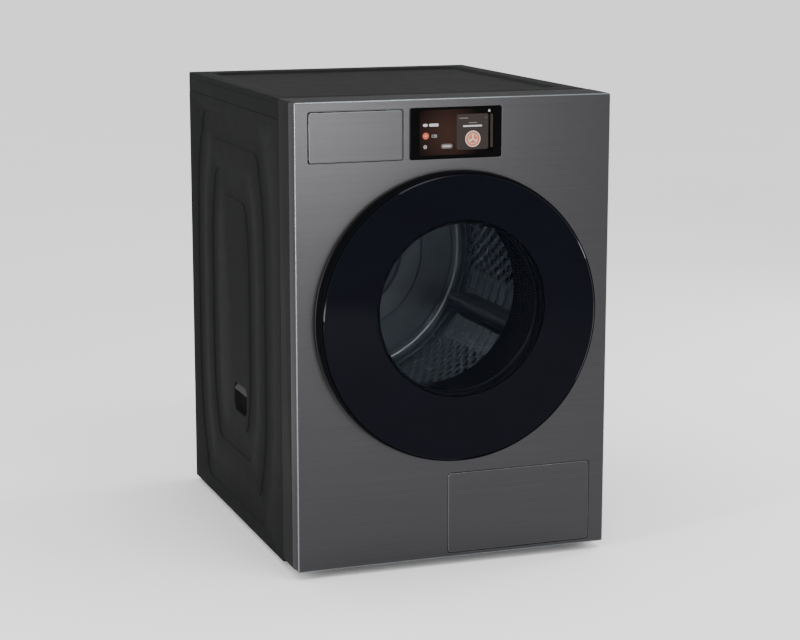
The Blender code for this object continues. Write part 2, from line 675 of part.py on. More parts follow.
def blower_housing():
    """The round case of the blower, open at its rear eye and at its top outlet."""
    profile = [(14, 345), (79, 345), (79, 403), (45, 403), (45, 400), (76, 400), (76, 348), (14, 348)]
    case = turned("blower_housing", profile, centre=(MOTOR_X, MOTOR_Z), steps=32)
    cut(case, block("outlet", (-232, -168), (359, 398), (150, 220)))
    finish(case, GREY_PLASTIC)


def tension_arm():
    """The sprung arm that presses the idler on the belt, with the idler's axle."""
    arm = rod("tension_arm", (ARM_PIVOT_X, ARM_PIVOT_Z), 11, (164, 170), "y")
    across = Vector((IDLER_X - ARM_PIVOT_X, IDLER_Z - ARM_PIVOT_Z)).normalized().orthogonal() * 8
    outline = [(u + side * across.x, v + side * across.y)
               for u, v, side in ((ARM_PIVOT_X, ARM_PIVOT_Z, 1), (ARM_PIVOT_X, ARM_PIVOT_Z, -1),
                                  (IDLER_X, IDLER_Z, -1), (IDLER_X, IDLER_Z, 1))]
    join(arm, prism("link", outline, (164.5, 169.5), "y"))
    join(arm, rod("boss", (IDLER_X, IDLER_Z), 9, (163, 171), "y"))
    join(arm, rod("axle", (IDLER_X, IDLER_Z), 4, (136, 166), "y"))
    cut(arm, rod("pivot_bore", (ARM_PIVOT_X, ARM_PIVOT_Z), 5.4, (150, 180), "y"))
    finish(arm, ZINC, (ARM_PIVOT_X, 167, ARM_PIVOT_Z))


def idler_pulley():
    """The smooth pulley that runs on the belt's back."""
    profile = [(4.4, 138), (IDLER_RADIUS, 138), (IDLER_RADIUS, 152), (4.4, 152)]
    made = turned("idler_pulley", profile, centre=(IDLER_X, IDLER_Z), steps=24)
    finish(made, WHITE_PLASTIC, (IDLER_X, 145, IDLER_Z))


# ---------------------------------------------------------------- heat pump

def fin_block(name, y):
    """A heat exchanger: upright fins that hang from a solid header."""
    left, right, low, high = 24.0, 286.0, 35.0, 190.0
    fins, header = 12, 168.0
    pitch = (right - left) / (fins - 0.5)
    outline = [(left, high)]
    for index in range(fins):
        start = left + pitch * index
        end = start + pitch / 2
        outline += [(start, low), (end, low)]
        if index < fins - 1:
            outline += [(end, header), (start + pitch, header)]
    outline.append((right, high))
    finish(prism(name, outline, y, "y"), ALUMINIUM)


def compressor():
    """The compressor's domed can."""
    profile = [(0, 15.3), (50, 15.3), (COMPRESSOR_RADIUS, 30), (COMPRESSOR_RADIUS, 160), (52, 184),
               (20, 192), (0, 193)]
    made = turned("compressor", profile, "z", (COMPRESSOR_X, COMPRESSOR_Y), 24)
    finish(made, COMPRESSOR_BLACK)


def fan_shroud():
    """The ring round the cooling fan, with spokes to the fan's motor and its shaft."""
    profile = [(60, 400), (63, 400), (63, 440.6), (60, 440.6)]
    ring = turned("fan_shroud", profile, centre=(FAN_X, FAN_Z), steps=32)
    spokes = block("spoke", (FAN_X - 62, FAN_X + 62), (434, 439), (FAN_Z - 3, FAN_Z + 3))
    join(spokes, block("spoke", (FAN_X - 3, FAN_X + 3), (434, 439), (FAN_Z - 62, FAN_Z + 62)))
    join(spokes, rod("motor", (FAN_X, FAN_Z), 16, (429, 440), "y"))
    join(spokes, rod("shaft", (FAN_X, FAN_Z), 3, (408, 431), "y"))
    join(ring, spokes)
    finish(ring, DARK_PLASTIC)


def cooling_fan():
    """Five pitched blades round a hub that turns on the fan motor's shaft."""
    hub = turned("cooling_fan", [(3.4, 406), (14, 406), (14, 427), (3.4, 427)], centre=(FAN_X, FAN_Z),
                 steps=SMALL)
    for index in range(5):
        turn = 2 * math.pi * index / 5
        radial = Vector((math.cos(turn), 0, math.sin(turn)))
        across = Vector((-math.sin(turn), 0, math.cos(turn)))
        points = []
        for reach, half in ((10.0, 7.0), (FAN_RADIUS, 17.0)):
            for side in (-1, 1):
                for skin in (-0.9, 0.9):
                    spot = radial * reach + across * half * side
                    points.append((FAN_X + spot.x, 416.5 + 7.0 * side + skin, FAN_Z + spot.z))
        faces = [(0, 1, 3, 2), (4, 6, 7, 5), (0, 4, 5, 1), (2, 3, 7, 6), (0, 2, 6, 4), (1, 5, 7, 3)]
        join(hub, object_from("blade", points, faces))
    finish(hub, DARK_PLASTIC, (FAN_X, 416.5, FAN_Z))


def drain_pump():
    """The condensate pump in the front left of the pan, with its outlet stub."""
    profile = [(0, 15.3), (24, 15.3), (24, 58), (16, 62), (16, 84), (0, 84)]
    pump = turned("drain_pump", profile, "z", (-60, -230), SMALL)
    join(pump, rod("outlet", (-230, 45), 7, (-100, -70), "x"))
    finish(pump, DARK_PLASTIC)


# ---------------------------------------------------------------- drawer, display, hatch

def tank_housing():
    """The sleeve behind the front panel that the water drawer slides in."""
    sleeve = block("tank_housing", (-318, -111), (-404.2, 48), (858.5, 967.5))
    cut(sleeve, block("bay", (-315, -114), (-420, 45), (861.5, 964.5)))
    finish(sleeve, GREY_PLASTIC)


def drawer_front():
    """The drawer's face, flush with the front panel."""
    outline = rounded(DRAWER_LEFT + 1, DRAWER_RIGHT - 1, DRAWER_BOTTOM + 1, DRAWER_TOP - 1, 4.5)
    face = prism("drawer_front", outline, (FRONT, FRONT + 8), "y")
    cut(face, block("finger_groove", (-280, -150), (FRONT + 2.5, FRONT + 9), (952, 970)))
    finish(face, STEEL_FRONT, (-214.5, FRONT, 913))


def water_tank():
    """The condensate tank, an open tub under its lid."""
    tub = block("water_tank", (-307, -122), (-397.7, 40), (868, 950))
    cut(tub, block("inside", (-304.5, -124.5), (-395.2, 37.5), (870.5, 960)))
    finish(tub, WHITE_PLASTIC, (-214.5, FRONT, 913))


def tank_lid():
    """The tank's lid, with the filling hole at the rear."""
    lid = block("tank_lid", (-307, -122), (-397.7, 40), (950.3, 954))
    cut(lid, rod("filling_hole", (-214.5, 0), 16, (940, 960), "z"))
    finish(lid, GREY_PLASTIC, (-214.5, FRONT, 913))


def display_glass():
    """The touch display's cover glass, flush with the front panel."""
    outline = rounded(DISPLAY_LEFT, DISPLAY_RIGHT, DISPLAY_BOTTOM, DISPLAY_TOP, 4.5)
    finish(prism("display_glass", outline, (FRONT, FRONT + 4), "y"), DOOR_BLACK)


def display_housing():
    """The moulded box behind the display."""
    box = block("display_housing", (-104, 102), (-401.7, -365), (858, 968))
    cut(box, block("inside", (-101, 99), (-399, -350), (861, 965)))
    finish(box, DARK_PLASTIC)


def service_frame():
    """The moulded frame behind the hatch, with the two pins that the hatch turns on."""
    frame = block("service_frame", (-26, 320), (-404.2, -388.4), (19.5, 212))
    cut(frame, block("inside", (-17, 311), (-420, -370), (24, 203)))
    axis = (HATCH_AXIS_Y, HATCH_AXIS_Z)
    join(frame, rod("left_pin", axis, 2, (-19, -3), "x", 12), rod("right_pin", axis, 2, (297, 313), "x", 12))
    finish(frame, DARK_PLASTIC)


def service_cover():
    """The hatch in the lower right of the front, hinged on two lugs near its lower edge."""
    bottom = HATCH_BOTTOM + 1.3
    outline = rounded(HATCH_LEFT + 0.8, HATCH_RIGHT - 0.8, bottom, HATCH_TOP - 0.8, HATCH_CORNER)
    hatch = prism("service_cover", outline, (FRONT, FRONT + 1.8), "y")
    for left in (-8.0, 295.8):
        join(hatch, block("lug", (left, left + 6), (FRONT + 1.0, -398.5), (31, 39.6)))
    bore = rod("bore", (HATCH_AXIS_Y, HATCH_AXIS_Z), 2.3, (-40, 340), "x", 12)
    cut(hatch, bore)
    finish(hatch, STEEL_FRONT, (147, HATCH_AXIS_Y, HATCH_AXIS_Z))


def inner_service_cover():
    """The sealed cover of the heat exchanger's chamber, with posts for its two lock levers."""
    cover = block("inner_service_cover", (-8, 302), (-388.1, -384), (36, 194))
    for x in LEVER_X:
        join(cover, rod("post", (x, LEVER_Z), 5, (-395, -386), "y"))
    finish(cover, GREY_PLASTIC)


def lock_lever(index, x):
    """A turning lock lever: a round boss with a bar across it."""
    lever = rod(f"lock_lever_{index}", (x, LEVER_Z), 14, (-397, -388.6), "y")
    join(lever, block("bar", (x - 5, x + 5), (-396, -389), (LEVER_Z - 26, LEVER_Z + 26)))
    cut(lever, rod("bore", (x, LEVER_Z), 5.4, (-400, -380), "y"))
    finish(lever, WHITE_PLASTIC, (x, -392, LEVER_Z))


# ---------------------------------------------------------------- the whole machine

def build_cabinet():
    base_pan()
    side_panel("left_side_panel", -1)
    side_panel("right_side_panel", 1)
    grip_cup("left_grip_cup", -1)
    grip_cup("right_grip_cup", 1)
    back_panel()
    cord_gland()
    top_cover()
    front_frame()
    front_panel()
    places = [(x, y) for y in FOOT_Y for x in (-FOOT_X, FOOT_X)]
    for index, (x, y) in enumerate(places, 1):
        foot(index, x, y)


def build_door():
    door_glass()
    door_rim()
    door_frame()
    door_bowl()
    door_seal()
    door_hinge_bracket()
    door_hinge_pin()
    door_catch()


def build_drum():
    front_bulkhead()
    front_roller("front_roller_left", ROLLER_ANGLES[0])
    front_roller("front_roller_right", ROLLER_ANGLES[1])
    drum_felt_seal()
    lint_filter()
    drum_shell()
    drum_back()
    for index, angle in enumerate(LIFTER_ANGLES, 1):
        lifter(index, angle)
    drum_shaft()
    rear_bearing()
    rear_air_duct()


def build_drive():
    drive_belt()
    drive_motor()
    motor_pulley()
    blower_wheel()
    blower_housing()
    tension_arm()
    idler_pulley()


def build_heat_pump():
    fin_block("evaporator", (-340, -220))
    fin_block("condenser", (-200, -80))
    compressor()
    fan_shroud()
    cooling_fan()
    drain_pump()


def build_controls():
    tank_housing()
    drawer_front()
    water_tank()
    tank_lid()
    display_glass()
    display_housing()
    service_frame()
    service_cover()
    inner_service_cover()
    for index, x in enumerate(LEVER_X, 1):
        lock_lever(index, x)


clear_scene()
build_cabinet()
build_door()
build_drum()
build_drive()
build_heat_pump()
build_controls()
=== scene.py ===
import json
import math

import bmesh
import bpy
import numpy as np
from mathutils import Matrix, Vector
from mathutils.geometry import tessellate_polygon


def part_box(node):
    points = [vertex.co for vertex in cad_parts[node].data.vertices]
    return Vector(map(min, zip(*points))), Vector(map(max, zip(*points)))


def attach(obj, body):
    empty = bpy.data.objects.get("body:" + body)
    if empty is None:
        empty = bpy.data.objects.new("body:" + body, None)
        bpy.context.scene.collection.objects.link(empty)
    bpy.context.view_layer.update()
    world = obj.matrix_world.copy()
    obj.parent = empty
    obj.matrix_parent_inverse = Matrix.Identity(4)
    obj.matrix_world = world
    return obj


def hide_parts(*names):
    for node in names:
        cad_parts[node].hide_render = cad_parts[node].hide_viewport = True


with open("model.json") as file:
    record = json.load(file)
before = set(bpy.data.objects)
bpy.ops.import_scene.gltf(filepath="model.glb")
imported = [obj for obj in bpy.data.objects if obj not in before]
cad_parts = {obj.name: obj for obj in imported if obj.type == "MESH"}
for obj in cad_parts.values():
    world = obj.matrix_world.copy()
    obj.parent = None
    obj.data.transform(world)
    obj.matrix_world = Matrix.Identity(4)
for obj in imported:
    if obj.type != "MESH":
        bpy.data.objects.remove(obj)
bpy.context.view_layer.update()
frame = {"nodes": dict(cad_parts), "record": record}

# A free-standing heat-pump clothes dryer: pressed and brushed sheets, a round glass door, an embossed
# drum, a lit display, a water drawer and a service hatch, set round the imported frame.
# Shapes are worked out in millimetres, in the frame's own axes: +X right, +Y back, +Z up.

MM = 0.001
ROUND = 160            # points round a turned piece
SAME_PLACE = 0.00002   # metres within which two points are one


def corners(node):
    """The lowest and highest corner of a frame node, in millimetres."""
    low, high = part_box(node)
    return np.array(low) / MM, np.array(high) / MM


SCREEN_LOW, SCREEN_HIGH = corners("display_glass")
FRONT = SCREEN_LOW[1]
PANEL_LOW, PANEL_HIGH = corners("front_panel")
HALF_WIDTH, PANEL_BOTTOM, TOP = PANEL_HIGH[0], PANEL_LOW[2], PANEL_HIGH[2]
SIDE_LOW, SIDE_HIGH = corners("left_side_panel")
COVER_LOW, COVER_HIGH = corners("top_cover")
PANE_LOW, PANE_HIGH = corners("door_glass")
PANE_FRONT, PANE_BACK, PANE_RADIUS = PANE_LOW[1], PANE_HIGH[1], PANE_HIGH[0]
DOOR_Z = (PANE_LOW[2] + PANE_HIGH[2]) / 2
DRUM_LOW, DRUM_HIGH = corners("drum_shell")
DRUM_Z = (DRUM_LOW[2] + DRUM_HIGH[2]) / 2
DRUM_RADIUS = DRUM_HIGH[0]
DRAWER_LOW, DRAWER_HIGH = corners("drawer_front")
HATCH_LOW, HATCH_HIGH = corners("service_cover")

SHEET = 1.5            # thickness of the front sheet
FOLD_RADIUS = 2.4
FOLD_STOP = 1.6        # height of the band at top and bottom in which the fold stops
LIFTER_ANGLES = (-25.0, 95.0, 215.0)   # degrees from +X, about the drum's axis

slot_of = {row["node"]: row["material_slot"] for row in frame["record"]["subparts"]}
body_of = {node: body for body, members in frame["record"]["behaviour"]["bodies"].items()
           for node in members}


# ------------------------------------------------------------------ finishes

class Finish:
    """A Principled finish with its node tree, built up by small steps."""

    def __init__(self, name, **sockets):
        self.material = bpy.data.materials.new(name)
        self.material.use_nodes = True
        self.tree = self.material.node_tree
        self.shader = self.tree.nodes["Principled BSDF"]
        for socket, value in sockets.items():
            self.shader.inputs[socket.replace("_", " ")].default_value = value

    def add(self, kind, settings=(), **sockets):
        """Adds a node, sets its properties and its sockets, and returns it."""
        made = self.tree.nodes.new("ShaderNode" + kind)
        for setting, value in dict(settings).items():
            setattr(made, setting, value)
        for socket, value in sockets.items():
            target = made.inputs[socket.replace("_", " ")]
            if isinstance(value, bpy.types.NodeSocket):
                self.tree.links.new(value, target)
            else:
                target.default_value = value
        return made

    def where(self, scale=(1, 1, 1), shift=(0, 0, 0)):
        """Object coordinates in metres, shifted and then stretched."""
        coordinates = self.add("TexCoord").outputs["Object"]
        moved = self.add("VectorMath", {"operation": "ADD"})
        self.tree.links.new(coordinates, moved.inputs[0])
        moved.inputs[1].default_value = shift
        return self.add("Mapping", Vector=moved.outputs[0], Scale=scale).outputs["Vector"]

    def noise(self, scale, stretch=(1, 1, 1), detail=2.0, roughness=0.5):
        """A noise value about 0.5, with a scale per metre."""
        made = self.add("TexNoise", Vector=self.where(stretch), Scale=scale, Detail=detail)
        made.inputs["Roughness"].default_value = roughness
        return made.outputs["Fac"]

    def between(self, value, low, high, start=0.3, end=0.7):
        """A value from start to end carried over to a range from low to high."""
        made = self.add("MapRange", Value=value)
        for socket, number in (("From Min", start), ("From Max", end), ("To Min", low), ("To Max", high)):
            made.inputs[socket].default_value = number
        return made.outputs["Result"]

    def mixed(self, share, first, second):
        """A colour from the first to the second as the share runs from 0 to 1."""
        made = self.add("Mix", {"data_type": "RGBA"})
        self.tree.links.new(share, made.inputs[0])
        made.inputs[6].default_value = (*first, 1)
        made.inputs[7].default_value = (*second, 1)
        return made.outputs[2]

    def colour(self, value, first, second):
        """Base colour from the first to the second as the value runs from 0.3 to 0.7."""
        colour = self.mixed(self.between(value, 0.0, 1.0), first, second)
        self.tree.links.new(colour, self.shader.inputs["Base Color"])

    def roughness(self, value, low, high):
        """Roughness from low to high as the value runs from 0.3 to 0.7."""
        self.tree.links.new(self.between(value, low, high), self.shader.inputs["Roughness"])

    def relief(self, value, height, strength=1.0):
        """A bump of the value, height metres high, laid over any bump already there."""
        made = self.add("Bump", Height=value, Distance=height, Strength=strength)
        before = self.shader.inputs["Normal"].links
        if before:
            self.tree.links.new(before[0].from_socket, made.inputs["Normal"])
        self.tree.links.new(made.outputs["Normal"], self.shader.inputs["Normal"])


def shades(grey, warmth=0.0):
    """A near-grey colour, slightly warm or slightly cold."""
    return (grey * (1 + warmth), grey, grey * (1 - warmth))


def brushed_sheet(name, grey, rough, grain=(3.0, 3.0, 420.0), spread=0.06):
    """Satin metal brushed along X: noise drawn out along the brushing, coarse over fine."""
    made = Finish(name, Metallic=1.0, Specular_Tint=(0.6, 0.6, 0.6, 1.0))
    coarse = made.noise(1.0, grain, detail=3.0)
    fine = made.noise(9.0, grain, detail=2.0)
    violet = np.array((1.02, 1.0, 1.05))
    made.colour(coarse, violet * grey * (1 - spread), violet * grey * (1 + spread))
    made.roughness(fine, rough - 0.03, rough + 0.03)
    made.relief(fine, 0.00001, 0.2)
    return made.material


def painted_sheet(name, grey, rough, specular):
    """Satin stove paint: a faint orange peel, a slow change of tone and finer gloss changes."""
    made = Finish(name, Specular_IOR_Level=specular)
    made.colour(made.noise(2.3, detail=3.0), shades(grey * 0.97, -0.02), shades(grey * 1.03, -0.02))
    made.roughness(made.noise(26.0, detail=2.0), rough - 0.02, rough + 0.02)
    made.relief(made.noise(420.0, detail=1.0), 0.00004, 0.25)
    return made.material


def moulded(name, colour, rough, specular=0.4, grain=900.0, **sockets):
    """Injection-moulded plastic with a spark-eroded grain and a slow change of tone."""
    made = Finish(name, Specular_IOR_Level=specular, **sockets)
    darker = tuple(part * 0.9 for part in colour)
    lighter = tuple(min(1.0, part * 1.08) for part in colour)
    made.colour(made.noise(6.0, detail=3.0), darker, lighter)
    made.roughness(made.noise(grain, detail=2.0), rough - 0.06, rough + 0.08)
    made.relief(made.noise(grain, detail=2.0), 0.00005, 0.3)
    return made.material


def polished_glass(name, colour, specular, alpha=1.0):
    """Polished glass, tinted, with a trace of wipe marks in its gloss."""
    made = Finish(name, Specular_IOR_Level=specular, Alpha=alpha)
    smear = made.noise(7.0, (1.0, 1.0, 2.5), detail=4.0)
    made.colour(smear, colour, tuple(part * 1.25 for part in colour))
    made.roughness(smear, 0.025, 0.07)
    return made.material


def galvanised(name, grey, rough):
    """Zinc-coated sheet: flat crystals of slightly different brightness and gloss."""
    made = Finish(name, Metallic=1.0)
    crystals = made.add("TexVoronoi", Vector=made.where(), Scale=210.0).outputs["Color"]
    value = made.add("SeparateColor", Color=crystals).outputs[0]
    made.colour(value, shades(grey * 0.94), shades(grey * 1.05))
    made.roughness(value, rough - 0.03, rough + 0.03)
    made.relief(made.noise(300.0), 0.00003, 0.3)
    return made.material


def soft_rubber(name, grey):
    """Matt rubber with a fine bloom."""
    made = Finish(name, Specular_IOR_Level=0.25)
    made.colour(made.noise(60.0, detail=4.0), shades(grey * 0.8), shades(grey * 1.4))
    made.roughness(made.noise(200.0), 0.68, 0.85)
    made.relief(made.noise(700.0), 0.0001, 0.35)
    return made.material


def pressed_felt(name, colour):
    """Felt: matted fibres as strong fine noise, with sheen."""
    made = Finish(name, Sheen_Weight=0.4, Specular_IOR_Level=0.1)
    fibres = made.noise(900.0, (1.0, 3.0, 1.0), detail=4.0, roughness=0.7)
    made.colour(fibres, tuple(part * 0.7 for part in colour), colour)
    made.roughness(fibres, 0.9, 1.0)
    made.relief(fibres, 0.0006, 0.8)
    return made.material


def stainless(name, grey, rough, grain):
    """Bright stainless sheet with a fine mill grain along one direction."""
    made = Finish(name, Metallic=1.0)
    streaks = made.noise(1.0, grain, detail=3.0)
    made.colour(streaks, shades(grey * 0.94, -0.08), shades(grey * 1.04, -0.08))
    made.roughness(streaks, rough - 0.05, rough + 0.07)
    made.relief(streaks, 0.00003, 0.25)
    return made.material


def spun_stainless(name):
    """Stainless sheet spun on a lathe: its gloss and tone change in fine steps along the axis, and its tone
    is set several times brighter than the drum wall's steel as a painted highlight.
    """
    made = Finish(name, Metallic=1.0)
    rings = made.noise(1.0, (5.0, 500.0, 5.0), detail=3.0)
    # painted highlight: a tone several times brighter than the drum wall's steel
    made.colour(rings, shades(0.7, -0.08), shades(0.8, -0.08))
    made.roughness(rings, 0.36, 0.46)
    return made.material


def drawn_copper(name):
    """Drawn copper pipe with a slow tarnish."""
    made = Finish(name, Metallic=1.0)
    tarnish = made.noise(30.0, detail=3.0)
    made.colour(tarnish, (0.62, 0.26, 0.13), (0.8, 0.4, 0.24))
    made.roughness(tarnish, 0.25, 0.45)
    return made.material


def pale_floor(name):
    """A matt pale floor with a very slow change of tone."""
    made = Finish(name, Specular_IOR_Level=0.0)
    made.colour(made.noise(0.8, detail=2.0), (0.88, 0.88, 0.885), (0.9, 0.9, 0.905))
    made.roughness(made.noise(3.0), 0.9, 1.0)
    return made.material


def emitting(made, colour):
    """Lets a near-black finish glow with a colour output."""
    made.tree.links.new(colour, made.shader.inputs["Emission Color"])
    made.shader.inputs["Base Color"].default_value = (0.002, 0.002, 0.002, 1)
    return made.material


def lit(name, colour, strength):
    """A printed area of the display that glows through the glass, with a fine dot mask."""
    made = Finish(name, Specular_IOR_Level=0.0, Roughness=0.2, Emission_Strength=strength)
    share = made.between(made.noise(1500.0, detail=0.0), 0.0, 1.0)
    return emitting(made, made.mixed(share, tuple(part * 0.93 for part in colour), colour))


def screen_glow(name, centre, reach, dark, warm, strength):
    """The lit background of the display: a warm glow that fades with distance from its centre."""
    made = Finish(name, Specular_IOR_Level=0.0, Roughness=0.2, Emission_Strength=strength)
    spot = made.where(scale=tuple(1 / part for part in reach), shift=tuple(-part for part in centre))
    distance = made.add("VectorMath", {"operation": "LENGTH"})
    made.tree.links.new(spot, distance.inputs[0])
    share = made.between(distance.outputs["Value"], 1.0, 0.0, 0.0, 1.0)
    return emitting(made, made.mixed(share, dark, warm))


def finishes():
    """One finish for each material slot of the record, then those of single pieces."""
    return {
        "front_steel": brushed_sheet("graphite_brushed_steel", 0.041, 0.33),
        "side_sheet": painted_sheet("near_black_side_paint", 0.0085, 0.5, specular=0.004),
        "top_sheet": painted_sheet("charcoal_top_paint", 0.0105, 0.55, specular=0.003),
        "zinc_steel": galvanised("zinc_coated_steel", 0.3, 0.42),
        "dark_plastic": moulded("dark_moulded_plastic", (0.0135, 0.0135, 0.014), 0.5, 0.006),
        "grey_plastic": moulded("grey_moulded_plastic", (0.22, 0.225, 0.23), 0.5),
        "white_plastic": moulded("white_moulded_plastic", (0.62, 0.63, 0.64), 0.4),
        "door_pane": polished_glass("black_backed_pane", (0.0012, 0.0014, 0.0032), 0.045),
        "display_pane": polished_glass("display_cover_glass", (0.0012, 0.0012, 0.0013), 0.03),
        "bowl_glass": polished_glass("clear_bowl_glass", (0.003, 0.004, 0.007), 0.15, 0.06),
        "rim_dark": moulded("dark_gloss_rim", (0.0024, 0.0025, 0.0032), 0.3, 0.02),
        "rubber": soft_rubber("black_rubber", 0.014),
        "felt": pressed_felt("pressed_felt", (0.3, 0.28, 0.25)),
        # painted shade: the drum wall's steel is set far darker than bare steel and than the rear wall, for
        # the shade inside the drum
        "stainless": stainless("drum_stainless_darkened_for_shade", 0.16, 0.22, (60.0, 3.0, 60.0)),
        "fin_aluminium": stainless("fin_aluminium", 0.7, 0.35, (4.0, 4.0, 300.0)),
        "black_paint": painted_sheet("black_enamel", 0.015, 0.35, specular=0.5),
        # painted highlight: a steel five times brighter than the front's, laid along rounded edges as their
        # bright line
        "edge": stainless("painted_highlight_steel", 0.2, 0.25, (3.0, 3.0, 300.0)),
        # painted light: the grip hood is set several times lighter than the side paint, for the light its
        # sloped face catches
        "grip": moulded("grip_hood_painted_light_plastic", (0.03, 0.03, 0.031), 0.5, 0.01),
        "window": polished_glass("tinted_window", (0.0015, 0.0022, 0.0045), 0.05, 0.24),
        # painted highlight: the drum's rear wall in a much brighter steel than the drum wall
        "drum_rear": spun_stainless("drum_rear_stainless_brightened_for_highlight"),
        "lifter": moulded("lifter_grey_plastic", (0.05, 0.052, 0.057), 0.4),
        "copper": drawn_copper("drawn_copper"),
    }


SHADES = finishes()


# ------------------------------------------------------------------ making pieces

def piece_from(name, points, faces):
    """A mesh object at the origin, from points in millimetres."""
    mesh = bpy.data.meshes.new(name)
    mesh.from_pydata((np.asarray(points, float) * MM).tolist(), [], faces)
    made = bpy.data.objects.new(name, mesh)
    bpy.context.scene.collection.objects.link(made)
    return made


def welded(made, outward=True):
    """Merges points that coincide, and turns a closed shell's faces outwards."""
    shell = bmesh.new()
    shell.from_mesh(made.data)
    bmesh.ops.remove_doubles(shell, verts=shell.verts, dist=SAME_PLACE)
    bmesh.ops.dissolve_degenerate(shell, edges=shell.edges, dist=SAME_PLACE / 4)
    if outward:
        bmesh.ops.recalc_face_normals(shell, faces=shell.faces)
    shell.to_mesh(made.data)
    shell.free()
    return made


def surface(name, points, wrap_rows=False, wrap_columns=False, ends=False, outward=True):
    """A grid of points as one surface, its rows or columns closed on themselves if asked.

    With ends, the first and the last row, each a closed loop, are filled with one face.
    """
    points = np.asarray(points, float)
    rows, columns = points.shape[:2]
    number = np.arange(rows * columns).reshape(rows, columns)
    grid = np.vstack([number, number[:1]]) if wrap_rows else number
    grid = np.hstack([grid, grid[:, :1]]) if wrap_columns else grid
    faces = np.stack([grid[:-1, :-1], grid[:-1, 1:], grid[1:, 1:], grid[1:, :-1]], -1).reshape(-1, 4).tolist()
    if ends:
        faces += [number[0][::-1].tolist(), number[-1].tolist()]
    return welded(piece_from(name, points.reshape(-1, 3), faces), outward=outward)


def put(made, like, shade=None, sharp=32.0, instead_of=()):
    """Finishes a piece like a frame node: its body, a material chosen by that node's slot unless one is
    given, and soft shading.
    """
    made.data.materials.clear()
    made.data.materials.append(shade or SHADES[slot_of[like]])
    made.data.shade_smooth()
    made.data.set_sharp_from_angle(angle=math.radians(sharp))
    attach(made, body_of[like])
    if instead_of:
        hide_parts(*instead_of)
    return made


def mesh_points(made):
    """A mesh's points as an array."""
    points = np.zeros(len(made.data.vertices) * 3)
    made.data.vertices.foreach_get("co", points)
    return points.reshape(-1, 3)


def set_points(made, points):
    """Puts an array of points back into a mesh."""
    made.data.vertices.foreach_set("co", np.ascontiguousarray(points).ravel())
    made.data.update()


def joined(name, parts):
    """Several meshes as one piece."""
    whole = bmesh.new()
    for part in parts:
        whole.from_mesh(part.data)
        bpy.data.objects.remove(part)
    mesh = bpy.data.meshes.new(name)
    whole.to_mesh(mesh)
    whole.free()
    made = bpy.data.objects.new(name, mesh)
    bpy.context.scene.collection.objects.link(made)
    return made


def eased(profile, radius, steps=5, closed=False):
    """A profile with each corner replaced by an arc, as a rational quadratic through its tangents.

    An arc's weight is the sine of half the corner's angle, and its tangent length is the radius
    over the tangent of that half, at most 0.45 of a side.
    """
    points = np.asarray(profile, float)
    radius = np.broadcast_to(np.asarray(radius, float), len(points)).copy()
    if not closed:
        radius[[0, -1]] = 0.0
    before, after = np.roll(points, 1, 0) - points, np.roll(points, -1, 0) - points
    reach_before, reach_after = (np.linalg.norm(side, axis=1) for side in (before, after))
    before, after = before / reach_before[:, None], after / reach_after[:, None]
    half = np.arccos(np.clip((before * after).sum(1), -1, 1)) / 2
    longest = 0.45 * np.minimum(reach_before, reach_after)
    tangent = np.minimum(radius / np.tan(np.maximum(half, 0.02)), longest)
    first, last = points + before * tangent[:, None], points + after * tangent[:, None]
    t = np.linspace(0, 1, steps)[None, :, None]
    weight = np.sin(half)[:, None, None]
    over = (1 - t) ** 2 * first[:, None] + 2 * t * (1 - t) * weight * points[:, None] + t**2 * last[:, None]
    return (over / ((1 - t) ** 2 + 2 * t * (1 - t) * weight + t**2)).reshape(-1, points.shape[1])


def turned(name, profile, centre=(0.0, 0.0), axis="y", steps=ROUND, ease=0.0):
    """A profile of (radius, place along the axis) carried round an axis.

    A profile that starts and ends on the axis makes a solid; any other is closed into a ring.
    """
    ring = not (profile[0][0] == 0 and profile[-1][0] == 0)
    line = eased(profile, ease, closed=ring) if np.any(ease) else np.asarray(profile, float)
    angle = np.linspace(0, 2 * np.pi, steps, endpoint=False)[None, :]
    u = centre[0] + line[:, :1] * np.cos(angle)
    v = centre[1] + line[:, :1] * np.sin(angle)
    along = np.broadcast_to(line[:, 1:], u.shape)
    grid = {"x": (along, u, v), "y": (u, along, v), "z": (u, v, along)}[axis]
    return surface(name, np.stack(grid, -1), wrap_rows=ring, wrap_columns=True)


def frame_loop(low, high, radius, grow=0.0, steps=8):
    """A rounded rectangle in (x, z) from two corners, grown by a distance, anticlockwise."""
    radius = max(radius + grow, 0.05)
    left, bottom = low[0] - grow + radius, low[1] - grow + radius
    right, top = high[0] + grow - radius, high[1] + grow - radius
    arcs = []
    for turn, (x, z) in enumerate(((right, top), (left, top), (left, bottom), (right, bottom))):
        angle = np.linspace(0, np.pi / 2, steps) + turn * np.pi / 2
        arcs.append(np.stack([x + radius * np.cos(angle), z + radius * np.sin(angle)], -1))
    return np.concatenate(arcs)


def ring_loop(centre, radius, grow=0.0, steps=ROUND):
    """A circle in (x, z), grown by a distance, anticlockwise."""
    angle = np.linspace(0, 2 * np.pi, steps, endpoint=False)
    reach = radius + grow
    return np.stack([centre[0] + reach * np.cos(angle), centre[1] + reach * np.sin(angle)], -1)


def outline(low, high, radius):
    """A rounded rectangle's outline, as a function of how far it is grown."""
    return lambda grow: frame_loop(low, high, radius, grow)


def round_outline(centre, radius, steps=ROUND):
    """A circle's outline, as a function of how far it is grown."""
    return lambda grow: ring_loop(centre, radius, grow, steps)


def at_depth(loop, y):
    """A loop in (x, z) as points at a depth y."""
    return np.stack([loop[:, 0], np.full(len(loop), y), loop[:, 1]], -1)


